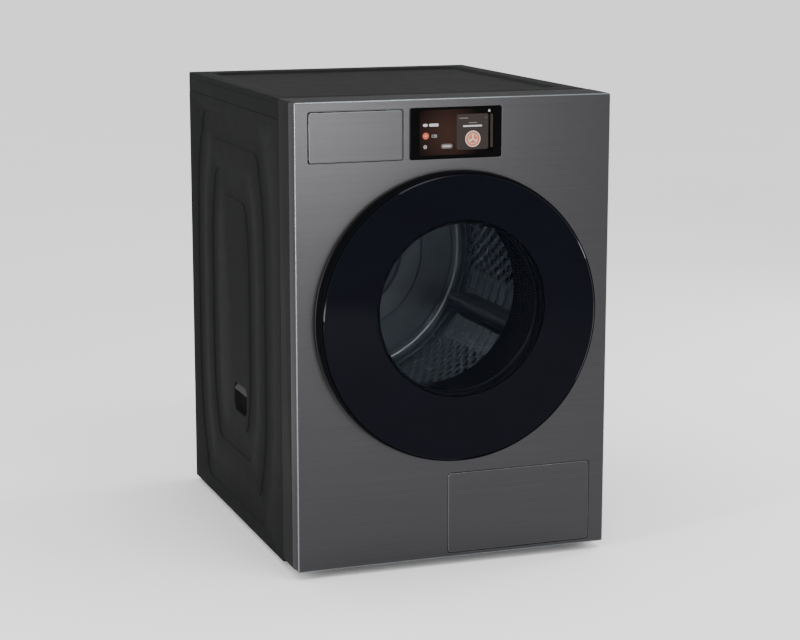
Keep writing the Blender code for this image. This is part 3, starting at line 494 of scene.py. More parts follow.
def slab(name, loop, front, back, edge=0.6, band=0.8):
    """A plate with a rounded edge: its outline drawn in by a quarter circle at the front and the back.

    loop(grow) gives the outline grown by a distance. A narrow flat band inside each rounded edge
    keeps the shading of the face flat.
    """
    turn = np.linspace(0, np.pi / 2, 5)
    drawn, sunk = edge * (1 - np.cos(turn)), edge * (1 - np.sin(turn))
    rows = [at_depth(loop(-edge - band), back)]
    rows += [at_depth(loop(-inset), back - depth) for inset, depth in zip(drawn[::-1], sunk[::-1])]
    rows += [at_depth(loop(-inset), front + depth) for inset, depth in zip(drawn, sunk)]
    rows += [at_depth(loop(-edge - band), front)]
    return surface(name, np.stack(rows), wrap_columns=True, ends=True)


def lift_up(z):
    """A plate made in (x, z) facing the front, laid flat to face up with its face at a height."""
    return Matrix(((1, 0, 0, 0), (0, 0, 1, 0), (0, -1, 0, z * MM), (0, 0, 0, 1)))


def painted_highlight_edge(name, loop, front, radius, like):
    """A painted highlight line along a rounded edge: a thin skin of brighter steel laid over its quarter
    circle.
    """
    turn = np.radians(np.linspace(8, 80, 6))
    places = [(radius + 0.03, a) for a in turn] + [(radius - 0.25, a) for a in turn[::-1]]
    rows = np.stack([at_depth(loop(-radius + reach * math.sin(a)), front + (radius - reach * math.cos(a)))
                     for reach, a in places])
    return put(surface(name, rows, wrap_rows=True, wrap_columns=True), like, SHADES["edge"])


def pierced_sheet(name, outer, holes, front, thickness, edge, fold, depth):
    """A sheet with rounded openings and a folded rim, as one skin with its thickness.

    Each opening's edge and the outer fold are quarter circles carried round their loops, and the
    flat between them is filled triangle by triangle from the loops' own points.
    """
    turn = np.linspace(0, np.pi / 2, 6)
    band = 1.0
    hole_rows = [(edge + band, 0.0)] + [(edge * (1 - math.sin(a)), edge * (1 - math.cos(a))) for a in turn]
    hole_rows.append((0.0, thickness))
    rim_rows = [(-fold - band, 0.0)] + [(-fold * (1 - math.sin(a)), fold * (1 - math.cos(a))) for a in turn]
    rim_rows += [(0.0, depth), (-thickness, depth), (-thickness, fold)]
    parts, loops = [], []
    for loop, rows in [(outer, rim_rows)] + [(hole, hole_rows) for hole in holes]:
        grid = np.stack([at_depth(loop(grow), front + back) for grow, back in rows])
        parts.append(surface(name, grid, wrap_columns=True, outward=False))
        loops.append(grid[0])
    flat = [Vector((x, z, 0)) for loop in loops for x, _, z in loop]
    triangles = tessellate_polygon([[Vector((x, z, 0)) for x, _, z in loop] for loop in loops])
    triangles = [t if (flat[t[1]] - flat[t[0]]).cross(flat[t[2]] - flat[t[0]]).z > 0 else t[::-1]
                 for t in map(tuple, triangles)]
    parts.append(piece_from(name, np.concatenate(loops), triangles))
    return welded(joined(name, parts))


def screw(name, place, radius=4.2):
    """A pan-head screw with a washer face and a cross recess pressed into its dome.

    The dome's height is h * sqrt(1 - (r / R) ** 2), less the recess, which is a cross of two
    Gaussian grooves.
    """
    reach = radius * np.sin(np.linspace(0, np.pi / 2, 9))[:, None]
    angle = np.linspace(0, 2 * np.pi, 28, endpoint=False)[None, :]
    u, v = reach * np.cos(angle), reach * np.sin(angle)
    dome = 2.2 * np.sqrt(np.maximum(1 - (reach / radius) ** 2, 0))
    upright, level = (np.exp(-(near / 0.7) ** 2) * (np.abs(far) < 2.4) for near, far in ((u, v), (v, u)))
    height = dome - 1.2 * np.maximum(upright, level)
    top = np.stack([place[0] + u, place[1] + height, place[2] + v], -1)
    foot = top[-1:].copy()
    foot[..., 1] = place[1] - 1.5
    pole = np.repeat(foot.mean(1, keepdims=True), foot.shape[1], 1)
    return surface(name, np.concatenate([pole, foot, top[::-1]]), wrap_columns=True)


def softened(node, width, shade=None):
    """A copy of a frame node, merged into one skin and given rounded edges."""
    source = frame["nodes"][node]
    made = bpy.data.objects.new(node + "_piece", source.data.copy())
    bpy.context.scene.collection.objects.link(made)
    shell = bmesh.new()
    shell.from_mesh(made.data)
    bmesh.ops.remove_doubles(shell, verts=shell.verts, dist=SAME_PLACE)
    shell.to_mesh(made.data)
    shell.free()
    bevel = made.modifiers.new("rounded_edges", "BEVEL")
    bevel.width = width * MM
    bevel.segments = 2
    bevel.limit_method = "ANGLE"
    bevel.angle_limit = math.radians(40)
    bevel.use_clamp_overlap = True
    return put(made, node, shade, instead_of=(node,))


# ------------------------------------------------------------------ cabinet

def opening(low, high, clearance, radius):
    """An opening's outline: a piece's outline seen from the front, larger by a clearance."""
    near, far = low[[0, 2]] - clearance, high[[0, 2]] + clearance
    return outline(near, far, radius)


def stopped(made, depth):
    """Stops a folded rim at a depth behind the front along its top and its bottom."""
    points = mesh_points(made)
    beside = (points[:, 2] > (TOP - FOLD_STOP) * MM) | (points[:, 2] < (PANEL_BOTTOM + FOLD_STOP) * MM)
    points[beside, 1] = np.minimum(points[beside, 1], (FRONT + depth) * MM)
    set_points(made, points)
    return made


def front_sheet():
    """The brushed front: openings for drawer, display, hatch and door, and a rim folded back.

    Along the top and the bottom the fold stops at the frame, which closes the cabinet there.
    """
    outer = outline((-HALF_WIDTH, PANEL_BOTTOM), (HALF_WIDTH, TOP), FOLD_RADIUS + 0.4)
    holes = [opening(DRAWER_LOW, DRAWER_HIGH, 2.4, 6.0), opening(SCREEN_LOW, SCREEN_HIGH, 0.6, 5.0),
             opening(HATCH_LOW - (0, 0, 0.5), HATCH_HIGH, 1.1, 7.0), round_outline((0.0, DRUM_Z), 228.0)]
    depth = PANEL_HIGH[1] - FRONT
    sheet = pierced_sheet("front_sheet", outer, holes, FRONT, SHEET, 0.7, FOLD_RADIUS, depth)
    put(welded(stopped(sheet, 1.7)), "front_panel", instead_of=("front_panel",))
    # a painted highlight line along the front sheet's fold
    stopped(painted_highlight_edge("front_edge_highlight", outer, FRONT, FOLD_RADIUS, "front_panel"), 1.5)
    ring = [(291.5, FRONT + 0.3), (291.5, FRONT - 2.3), (304.0, FRONT - 2.3), (304.0, FRONT + 0.3)]
    put(turned("door_ring", ring, (0, DOOR_Z), ease=0.9), "front_panel")


EMBOSS_CENTRE = (72.0, 477.0)
EMBOSS_RINGS = ((310.5, 433.0, 82.0), (244.0, 373.5, 62.0), (182.5, 314.0, 55.0), (123.0, 256.0, 38.0))
EMBOSS_DEPTH, EMBOSS_SLOPE, EMBOSS_CORNER = 2.4, 3.2, 40.0
GRIP_LOW, GRIP_HIGH = (-24.0, 258.0), (76.0, 322.0)
GRIP_DEPTH = 22.0


def pressed_loop(half_width, half_height, bow, steps):
    """A pressed contour about (0, 0) in (y, z).

    Its side bows in towards the top and the bottom as half_width - bow * (z / half_height) ** 4.8,
    and a quarter ellipse rounds each corner. The points go once round, the same number on each
    quarter, so that one contour joins the next.
    """
    corner_z = half_height - EMBOSS_CORNER
    side = corner_z * np.sin(np.linspace(0, np.pi / 2, steps, endpoint=False))
    turn = np.linspace(0, np.pi / 2, steps)
    corner_y = half_width - bow * (corner_z / half_height) ** 4.8 - EMBOSS_CORNER
    bowed = half_width - bow * (side / half_height) ** 4.8
    across = corner_y * np.linspace(1, 0, steps)[1:]
    y = np.concatenate([bowed, corner_y + EMBOSS_CORNER * np.cos(turn), across])
    z = np.concatenate([side, corner_z + EMBOSS_CORNER * np.sin(turn), np.full(steps - 1, half_height)])
    return mirrored(y, z)


def mirrored(y, z):
    """A quarter loop from (+, 0) to (0, +) mirrored into a whole loop."""
    loop_y = np.concatenate([y, -y[-2::-1], -y[1:], y[-2:0:-1]])
    loop_z = np.concatenate([z, z[-2::-1], -z[1:], -z[-2:0:-1]])
    return np.stack([loop_y, loop_z], -1)


def sheet_loop(half_y, half_z, steps, corner=2.0):
    """The sheet's rounded outline with the same number of points as a pressed contour."""
    turn = np.linspace(0, np.pi / 2, steps)
    side = (half_z - corner) * np.sin(np.linspace(0, np.pi / 2, steps, endpoint=False))
    y = np.concatenate([np.full(steps, half_y), half_y - corner + corner * np.cos(turn),
                        (half_y - corner) * np.linspace(1, 0, steps)[1:]])
    z = np.concatenate([side, half_z - corner + corner * np.sin(turn), np.full(steps - 1, half_z)])
    return mirrored(y, z)


def side_sheet(side, name, panel, cup):
    """A pressed side sheet: nested contours, sunk between the first and second and between the
    third and fourth, and inside them the grip's moulded bowl.

    Every row is a closed loop in (y, z) with a depth below the sheet's face. Across each slope the
    depth follows half a cosine, so that the pressing has soft shoulders.
    """
    steps = 16
    face = HALF_WIDTH
    middle = (SIDE_HIGH[1:] + SIDE_LOW[1:]) / 2
    half_y, half_z = (SIDE_HIGH[1:] - SIDE_LOW[1:]) / 2
    rows = [(sheet_loop(half_y, half_z, steps) + middle, depth) for depth in (14.0, 1.6)]
    rows += [(sheet_loop(half_y - grow, half_z - grow, steps) + middle, depth)
             for grow, depth in ((0.5, 0.5), (1.6, 0.0), (3.0, 0.0))]
    for index, (half_width, half_height, bow) in enumerate(EMBOSS_RINGS):
        for part in np.linspace(0, 1, 7):
            grow = -EMBOSS_SLOPE * part if index % 2 == 0 else EMBOSS_SLOPE * (1 - part)
            deep = (1 - math.cos(math.pi * part)) / 2
            depth = EMBOSS_DEPTH * (deep if index % 2 == 0 else 1 - deep)
            loop = pressed_loop(half_width + grow, half_height + grow, bow, steps)
            rows.append((loop + EMBOSS_CENTRE, depth))
    mouth_middle = (np.array(GRIP_HIGH) + GRIP_LOW) / 2
    mouth_half = (np.array(GRIP_HIGH) - GRIP_LOW) / 2
    for grow, depth in ((6.0, 0.0), (1.2, 0.0), (0.3, 0.3), (0.0, 1.2), (-0.4, 12.0), (-3.0, GRIP_DEPTH - 4),
                        (-8.0, GRIP_DEPTH), (-20.0, GRIP_DEPTH + 0.4)):
        loop = sheet_loop(mouth_half[0] + grow, mouth_half[1] + grow, steps, corner=max(20.0 + grow, 3.0))
        rows.append((loop + mouth_middle, depth))
    points = np.stack([np.column_stack([np.full(len(loop), side * (face - depth)), loop])
                       for loop, depth in rows])
    made = facing(surface(name, points, wrap_columns=True, outward=False), (side, 0, 0))
    put(closed_end(made, points[-1]), panel, instead_of=(panel, cup))
    grip_hood(side, panel)


def facing(made, direction):
    """Turns an open sheet so that most of it faces a direction."""
    normals = np.zeros(len(made.data.polygons) * 3)
    made.data.polygons.foreach_get("normal", normals)
    areas = np.zeros(len(made.data.polygons))
    made.data.polygons.foreach_get("area", areas)
    if (normals.reshape(-1, 3) * areas[:, None]).sum(0) @ np.array(direction) < 0:
        made.data.flip_normals()
    return made


def closed_end(made, loop):
    """Fills a sheet's last loop with one face and gives the sheet its thickness."""
    shell = bmesh.new()
    shell.from_mesh(made.data)
    target = {tuple(np.round(point * MM, 6)) for point in loop}
    rim = [edge for edge in shell.edges if edge.is_boundary
           and all(tuple(np.round(vertex.co, 6)) in target for vertex in edge.verts)]
    bmesh.ops.holes_fill(shell, edges=rim, sides=0)
    shell.to_mesh(made.data)
    shell.free()
    thick = made.modifiers.new("sheet_thickness", "SOLIDIFY")
    thick.thickness = 1.0 * MM
    thick.offset = -1.0
    return made


def grip_hood(side, panel):
    """The small hood inside the grip's opening: a wedge that leans out from its top to its lower lip. Its
    finish is set lighter than the side paint, as painted light on its sloped face.
    """
    face, top = HALF_WIDTH, GRIP_HIGH[1]
    wedge = eased([(face - 9.0, top - 1.0), (face - 6.0, top - 1.0), (face - 0.3, top - 16.0),
                   (face - 1.4, top - 18.5), (face - 10.0, top - 9.0)], 0.7, 4, closed=True)
    middle, half = (GRIP_LOW[0] + GRIP_HIGH[0]) / 2, (GRIP_HIGH[0] - GRIP_LOW[0]) / 2 - 0.6
    across = middle + half * np.array([-1.0, -0.99, -0.97, 0.97, 0.99, 1.0])[:, None]
    drawn = np.array([0.94, 0.98, 1.0, 1.0, 0.98, 0.94])[:, None]
    x = face - 6.0 + (wedge[None, :, 0] - face + 6.0) * drawn
    z = top - 9.0 + (wedge[None, :, 1] - top + 9.0) * drawn
    lip = surface("left_grip_hood" if side < 0 else "right_grip_hood",
                  np.stack([side * x, np.broadcast_to(across, x.shape), z], -1), wrap_columns=True, ends=True)
    put(lip, panel, SHADES["grip"])


def top_cover():
    """The lid: a skirt with a seam, a rounded shoulder, a flat rim and a sunk middle with a slope.

    Every row is a rounded rectangle in (x, y) at a height; together they run from inside the
    skirt, over the shoulder and down into the middle.
    """
    low, high = COVER_LOW, COVER_HIGH
    rim_low, rim_high = np.array((-305.0, -240.0)), np.array((305.0, 394.0))
    floor_low, floor_high = np.array((-287.0, -212.0)), np.array((287.0, 376.0))
    rows = []
    turn = np.linspace(0, np.pi / 2, 6)
    skirt = [(-2.0, low[2] + 3.0, 2.0), (-1.6, low[2], 2.0), (0.0, low[2], 3.0), (0.0, low[2] + 1.2, 3.0)]
    seam = [(0.0, high[2] - 13.0, 3.0), (-0.5, high[2] - 12.6, 3.0), (-0.5, high[2] - 11.8, 3.0),
            (0.0, high[2] - 11.4, 3.0)]
    shoulder = [(-3.0 * (1 - math.cos(a)), high[2] - 3.0 * (1 - math.sin(a)), 3.5) for a in turn]
    for grow, z, radius in skirt + seam + shoulder:
        rows.append((low[:2] - grow, high[:2] + grow, radius, z))
    for part in np.linspace(0, 1, 9):
        near = rim_low * (1 - part) + floor_low * part
        far = rim_high * (1 - part) + floor_high * part
        rows.append((near, far, 16.0 - 6.0 * part, high[2] - 5.0 * (1 - math.cos(math.pi * part)) / 2))
    rows.append((floor_low + 2.0, floor_high - 2.0, 9.0, high[2] - 5.0))
    points = np.stack([np.column_stack([frame_loop(a, b, radius, steps=10), np.full(40, z)])
                       for a, b, radius, z in rows])
    lid = surface("lid", points, wrap_columns=True, ends=True)
    put(lid, "top_cover", instead_of=("top_cover",))
    rear_trim()


def rear_trim():
    """The dark strip along the lid's rear edge."""
    area = outline((-HALF_WIDTH + 4.5, 405.0), (HALF_WIDTH - 4.5, COVER_HIGH[1] - 3.5), 3.0)
    strip = slab("lid_rear_trim", area, 0.0, 1.6, edge=0.5)
    strip.data.transform(lift_up(COVER_HIGH[2] - 0.4))
    put(strip, "top_cover", SHADES["dark_plastic"])


def front_surround():
    """The dark frame behind the front sheet, whose edge shows at the sides and along the top."""
    softened("front_frame", 0.25)


def back_sheet():
    """The rear sheet: vent slots, a gland opening, raised panels and screws."""
    low, high = corners("back_panel")
    fan = corners("fan_shroud")
    fan_x, fan_z = (fan[0][0] + fan[1][0]) / 2, 130.0
    outer = outline((low[0], low[2]), (high[0], high[2]), 4.0)
    holes = [outline((fan_x - 48, z - 3), (fan_x + 48, z + 3), 2.9) for z in fan_z - 42 + 14 * np.arange(7)]
    holes.append(round_outline((250.0, 900.0), 13.0, 48))
    sheet = pierced_sheet("rear_sheet", outer, holes, 0.0, 1.0, 0.5, 1.0, 2.4)
    points = mesh_points(sheet)
    points[:, 1] = (high[1] - 1.6) * MM - points[:, 1]
    set_points(sheet, points)
    sheet.data.flip_normals()
    put(sheet, "back_panel", instead_of=("back_panel",))
    raised = (((-300, 250), (-40, 880), 18.0), ((0, 250), (300, 840), 18.0), ((-300, 40), (60, 215), 14.0))
    for index, (near, far, radius) in enumerate(raised, 1):
        raised_area = outline(near, far, radius)
        swage = slab(f"rear_swage_{index}", raised_area, high[1] - 2.4, high[1], edge=1.3, band=1.0)
        put(swage, "back_panel")
    places = [(x, z) for x in (-326.0, 0.0, 326.0) for z in (30.0, 340.0, 650.0, 925.0)]
    for index, (x, z) in enumerate(places, 1):
        put(screw(f"rear_screw_{index}", (x, high[1] - 1.7, z)), "back_panel")


def levelling_feet():
    """Rubber-soled feet: a ribbed pad, a hex nut and a threaded stem."""
    for index in range(1, 5):
        node = f"foot_{index}"
        low, high = corners(node)
        centre = ((low[0] + high[0]) / 2, (low[1] + high[1]) / 2)
        pad = [(0, 0), (19.5, 0), (21.0, 0.8), (22.0, 2.2), (22.0, 3.4), (21.3, 3.8), (21.3, 4.4),
               (22.0, 4.8), (22.0, 6.6), (20.5, 8.0), (9.0, 8.0), (0, 8.0)]
        put(turned(f"foot_pad_{index}", pad, centre, "z", 64), node, instead_of=(node,))
        turns = np.linspace(0, 1, 181)[:, None]
        angle = np.linspace(0, 2 * np.pi, 28, endpoint=False)[None, :]
        height = 9.0 + 22.5 * turns
        reach = 5.0 + 0.45 * np.cos(angle - 2 * np.pi * height / 1.75)
        thread = np.stack([centre[0] + reach * np.cos(angle), centre[1] + reach * np.sin(angle),
                           np.broadcast_to(height, reach.shape)], -1)
        put(surface(f"foot_stem_{index}", thread, wrap_columns=True, ends=True), node, SHADES["zinc_steel"])
        nut = turned(f"foot_nut_{index}", [(5.7, 8.2), (9.6, 8.2), (10.0, 8.6), (10.0, 11.6), (9.6, 12.0),
                                           (5.7, 12.0)], centre, "z", 6)
        put(nut, node, SHADES["zinc_steel"], sharp=20)


# ------------------------------------------------------------------ door

NECK_RADIUS = 184.0


def circle_rows(name, rows, steps=220, solid=False):
    """A shell of circles across Y, each row a (radius, middle's height, depth), joined in order."""
    points = np.stack([at_depth(ring_loop((0.0, middle), radius, 0.0, steps), depth)
                       for radius, middle, depth in rows])
    return surface(name, points, wrap_rows=not solid, wrap_columns=True)


def door_pane():
    """The outer pane: a black-backed ring with a ground bevel, and a clear middle round the bowl."""
    rows = [(NECK_RADIUS, DRUM_Z, PANE_FRONT), (PANE_RADIUS - 3.4, DOOR_Z, PANE_FRONT),
            (PANE_RADIUS - 2.6, DOOR_Z, PANE_FRONT + 0.25), (PANE_RADIUS - 0.3, DOOR_Z, PANE_FRONT + 2.3),
            (PANE_RADIUS, DOOR_Z, PANE_FRONT + 3.0), (PANE_RADIUS - 0.3, DOOR_Z, PANE_BACK),
            (NECK_RADIUS, DRUM_Z, PANE_BACK)]
    border = circle_rows("door_pane_border", rows)
    put(border, "door_glass", sharp=15, instead_of=("door_glass",))
    edge = NECK_RADIUS - 0.05
    clear = [(0, PANE_FRONT), (edge, PANE_FRONT), (edge, PANE_BACK), (0, PANE_BACK)]
    put(turned("door_window", clear, (0, DRUM_Z)), "door_glass", SHADES["window"])


def door_rim():
    """The door's dark rim: a sloped outer wall, a fine groove beside the pane and a rolled lip."""
    profile = [(298.1, -439.0), (299.2, -440.3), (300.4, -440.0), (301.3, -436.5), (302.2, -430.0),
               (302.7, -424.0), (303.0, -419.0), (302.6, -415.2), (301.2, -414.2), (291.0, -414.2),
               (290.4, -415.2), (291.0, -416.4), (299.6, -417.2), (294.8, -436.0), (288.4, -436.2),
               (288.4, -438.9)]
    ring = turned("door_rim_ring", profile, (0, DOOR_Z), steps=220, ease=0.4)
    put(ring, "door_rim", instead_of=("door_rim",))


def door_frame():
    """The door's moulded back plate, from the bowl's neck to the rim, with its screws."""
    rows = [(184.2, DRUM_Z, -439.1), (186.8, DRUM_Z, -439.1), (187.0, DRUM_Z, -438.6),
            (187.0, DRUM_Z, -412.5), (188.5, DRUM_Z, -411.0), (284.4, DOOR_Z, -411.0),
            (285.0, DOOR_Z, -410.4), (285.0, DOOR_Z, -408.6), (284.4, DOOR_Z, -408.0),
            (185.0, DRUM_Z, -408.0), (184.0, DRUM_Z, -409.0), (184.0, DRUM_Z, -438.6)]
    put(circle_rows("door_back_plate", rows), "door_frame", instead_of=("door_frame",))
    for index, angle in enumerate(np.radians(np.arange(20, 341, 40)), 1):
        place = (226.0 * math.cos(angle), DRUM_Z + 226.0 * math.sin(angle))
        radial = math.hypot(place[0], place[1] - DOOR_Z)
        if radial < 276 and abs(place[1] - DOOR_Z) > 60:
            head = screw(f"door_screw_{index}", (place[0], -407.9, place[1]), 3.4)
            put(head, "door_frame", SHADES["zinc_steel"])


def door_bowl():
    """The clear bowl: a slightly tapered wall that turns into a flat end over a wide radius."""
    outer = [(0, -301.0), (140, -301.0), (163.0, -303.5), (168.0, -325.0), (177.0, -380.0), (183.4, -403.0),
             (183.4, -418.0)]
    inner = [(179.2, -418.0), (179.2, -404.0), (173.0, -380.0), (164.0, -325.0), (158.0, -307.5),
             (138, -305.0), (0, -305.0)]
    bends = [0, 40, 9, 20, 30, 4, 0]
    line = np.concatenate([eased(outer, bends, 8), eased(inner, bends[::-1], 8)])
    put(turned("door_bowl_glass", line, (0, DRUM_Z), steps=200), "door_bowl", instead_of=("door_bowl",))
    band = [(183.3, -438.8), (183.3, -404.5), (178.2, -404.5), (176.0, -420.0), (176.0, -438.8)]
    put(turned("door_bowl_band", band, (0, DRUM_Z), ease=1.2), "door_bowl", SHADES["rim_dark"])


def door_seal():
    """The lip seal: a soft bead with a thin leg, carried round the bowl."""
    profile = [(209.8, -407.8), (217.4, -407.8), (217.0, -404.0), (215.4, -398.4), (212.4, -397.2),
               (209.8, -399.6), (211.2, -403.0)]
    put(turned("door_lip_seal", profile, (0, DRUM_Z), ease=1.6), "door_seal", instead_of=("door_seal",))


# ------------------------------------------------------------------ drum

BUBBLE_PITCH, BUBBLE_RADIUS, BUBBLE_HEIGHT = 28.0, 11.5, 6.0
RIB_PLACES = np.linspace(-165.0, 290.0, 11)


def hexagonal(along, around, pitch):
    """Distance to the nearest point of a hexagonal lattice: two rectangular lattices, one shifted."""
    tall = pitch * math.sqrt(3)
    first = np.hypot(around - pitch * np.round(around / pitch), along - tall * np.round(along / tall))
    shifted_around, shifted_along = around - pitch / 2, along - tall / 2
    second = np.hypot(shifted_around - pitch * np.round(shifted_around / pitch),
                      shifted_along - tall * np.round(shifted_along / tall))
    return np.minimum(first, second)


def drum_relief(y, angle, radius):
    """How far the drum's sheet is pressed in: domes on a hexagonal lattice, and beside each lifter a
    row of short ribs that run round the drum.

    A dome is h * (1 - (d / R) ** 2) ** 1.5 inside its radius. A rib is a Gaussian ridge along the
    drum times a flat-topped window in angle.
    """
    count = round(2 * np.pi * radius / BUBBLE_PITCH)
    around = angle * count * BUBBLE_PITCH / (2 * np.pi)
    distance = hexagonal(y, around, BUBBLE_PITCH)
    domes = BUBBLE_HEIGHT * np.maximum(1 - (distance / BUBBLE_RADIUS) ** 2, 0) ** 1.5
    away = np.full(np.broadcast_shapes(y.shape, angle.shape), 180.0)
    for lifter in LIFTER_ANGLES:
        off = np.abs((np.degrees(angle) - lifter + 180) % 360 - 180)
        away = np.minimum(away, off)
    ends = np.clip((y - DRUM_LOW[1] - 42) / 16, 0, 1) * np.clip((DRUM_HIGH[1] - 12 - y) / 10, 0, 1)
    field = np.clip((away - 15.0) / 1.5, 0, 1)
    ribs = sum(np.exp(-((y - place) / 4.5) ** 2) for place in RIB_PLACES)
    window = np.exp(-((away - 10.2) / 3.9) ** 8)
    return (domes * field + 2.6 * ribs * window) * ends


def drum_wall():
    """The drum: a front wall with a rolled collar, the pressed wall inside, and a plain outside."""
    low, high, radius = DRUM_LOW, DRUM_HIGH, DRUM_RADIUS
    angle = np.linspace(0, 2 * np.pi, 540, endpoint=False)[None, :]
    inner = radius - 1.5
    front = eased([(208.4, low[1]), (208.4, -236.0), (299.0, -236.0), (inner, -224.0), (inner, -214.0)],
                  [0, 5, 12, 10, 0], 6)
    wall = np.stack([np.full(124, inner), np.linspace(-212.0, high[1], 124)], -1)
    outside = eased([(radius, high[1]), (radius, -225.0), (300.0, -237.5), (209.9, -237.5), (209.9, low[1])],
                    [0, 10, 12, 4, 0], 5)
    line = np.concatenate([front, wall, outside])
    reach = np.broadcast_to(line[:, :1], (len(line), angle.shape[1])).copy()
    rows = slice(len(front), len(front) + len(wall))
    reach[rows] -= drum_relief(wall[:, 1:], angle, inner)
    points = np.stack([reach * np.cos(angle), np.broadcast_to(line[:, 1:], reach.shape),
                       DRUM_Z + reach * np.sin(angle)], -1)
    put(surface("drum_wall", points, wrap_rows=True, wrap_columns=True), "drum_shell", sharp=60,
        instead_of=("drum_shell",))


def drum_rear_wall():
    """The drum's rear wall: a stepped disc with a rolled rim, a raised ring and a low dome."""
    front = [(0, 297.5), (55, 298.0), (98, 301.0), (130, 305.0), (140, 316.0), (190, 318.5), (194, 321.0),
             (270, 325.0), (276, 329.5), (287, 330.0), (290, 327.5), (300, 328.0), (304, 332.5),
             (313.5, 335.0), (313.8, 338.0), (317.8, 338.4), (317.8, 340.0), (312, 340.0), (284, 336.0),
             (262, 328.5), (140, 319.5), (131, 308.8), (97, 304.6), (0, 302.6)]
    radii = [0, 60, 40, 6, 6, 4, 4, 3, 3, 2, 2, 2, 2, 1, 0, 0, 0, 2, 4, 4, 4, 4, 10, 0]
    wall = turned("drum_rear_wall", front, (0, DRUM_Z), steps=220, ease=radii)
    put(wall, "drum_back", SHADES["drum_rear"], instead_of=("drum_back",))


def lifter(index, angle):
    """A drum paddle: a two-step section carried along the drum, drawn down to the wall at both ends.

    The section is a list of (reach from the axis, half width); at a share t along the paddle its
    reach above the wall is scaled by (1 - |t| ** 14) ** 0.5 and its width by (1 - |t| ** 20) ** 0.5.
    """
    low, high = corners(f"lifter_{index}")
    base = 315.2
    section = eased([(base, -31.0), (304, -26.0), (296, -18.5), (264, -13.5), (255, -7.0), (252.5, 0.0),
                     (255, 7.0), (264, 13.5), (296, 18.5), (304, 26.0), (base, 31.0)],
                     [0, 6, 10, 8, 6, 8, 6, 8, 10, 6, 0], 4)
    quarter = np.linspace(0, np.pi / 2, 30)
    t = np.concatenate([-np.cos(quarter), np.cos(quarter[::-1])])[:, None]
    tall = np.sqrt(np.maximum(1 - np.abs(t) ** 14, 0.0))
    wide = np.sqrt(np.maximum(1 - np.abs(t) ** 20, 0.0)) * 0.35 + 0.65
    reach = base - (base - section[None, :, 0]) * tall
    half = section[None, :, 1] * wide
    y = (low[1] + high[1]) / 2 + (high[1] - low[1]) / 2 * t
    a = math.radians(angle)
    bow = np.sqrt(np.maximum(reach**2 - half**2, 0.0))
    points = np.stack([bow * math.cos(a) - half * math.sin(a), np.broadcast_to(y, bow.shape),
                       DRUM_Z + bow * math.sin(a) + half * math.cos(a)], -1)
    node = f"lifter_{index}"
    paddle = surface(node + "_paddle", points, wrap_columns=True, ends=True)
    put(paddle, node, SHADES["lifter"], instead_of=(node,))


def throat_lining():
    """A smooth moulded lining just inside the throat, wider to the front."""
    profile = [(221.6, -404.0), (204.6, -330.0), (199.6, -290.0), (199.6, -240.5), (198.6, -240.5),
               (198.6, -290.4), (203.6, -330.2), (220.6, -404.0)]
    put(turned("throat_lining", profile, (0, DRUM_Z), ease=[0, 30, 30, 0, 0, 30, 30, 0]), "front_bulkhead",
        SHADES["dark_plastic"])


def felt_ring():
    """The felt between throat and drum, its surface uneven by two crossed sine waves."""
    profile = eased([(203.2, -256), (207.2, -256), (207.2, -242), (203.2, -242)], 1.2, 5, closed=True)
    angle = np.linspace(0, 2 * np.pi, 240, endpoint=False)[None, :]
    reach = profile[:, :1] + 0.15 * np.sin(47 * angle + profile[:, 1:] * 2.1) * np.sin(31 * angle)
    points = np.stack([reach * np.cos(angle), np.broadcast_to(profile[:, 1:], reach.shape),
                       DRUM_Z + reach * np.sin(angle)], -1)
    put(surface("drum_felt_ring", points, wrap_rows=True, wrap_columns=True), "drum_felt_seal",
        instead_of=("drum_felt_seal",))


def wheel(name, node, profile, ease, shade=None, steps=96):
    """A turned wheel in place of a frame node, about that node's own middle."""
    low, high = corners(node)
    centre = ((low[0] + high[0]) / 2, (low[2] + high[2]) / 2)
    return put(turned(name, profile, centre, "y", steps, ease), node, shade, instead_of=(node,))


def rollers_and_pulleys():
    """The front rollers, the idler and the motor pulley, each turned from its own profile."""
    for node in ("front_roller_left", "front_roller_right"):
        tyre = [(6.4, -221.5), (9, -221.8), (12, -219.0), (18, -219.0), (19.5, -221.8), (24, -221.8),
                (25, -219.5), (25, -202.5), (24, -200.2), (19.5, -200.2), (18, -203.0), (12, -203.0),
                (9, -200.2), (6.4, -200.5)]
        wheel(node + "_wheel", node, tyre, 0.8)
    idler = [(4.4, 138), (8, 138), (9, 141), (15, 141), (16, 138), (18, 138), (18, 139.2), (17.6, 140.0),
             (17.6, 150.0), (18, 150.8), (18, 152), (16, 152), (15, 149), (9, 149), (8, 152), (4.4, 152)]
    wheel("idler_wheel", "idler_pulley", idler, 0.4)
    grooves = [(11.3 + 0.7 * (step % 2), 138.6 + 0.55 * step) for step in range(24)]
    pulley = [(5.3, 137), (12, 137)] + grooves + [(12, 153), (5.3, 153)]
    wheel("motor_belt_wheel", "motor_pulley", pulley, 0.0)


# ------------------------------------------------------------------ drawer, display and hatch

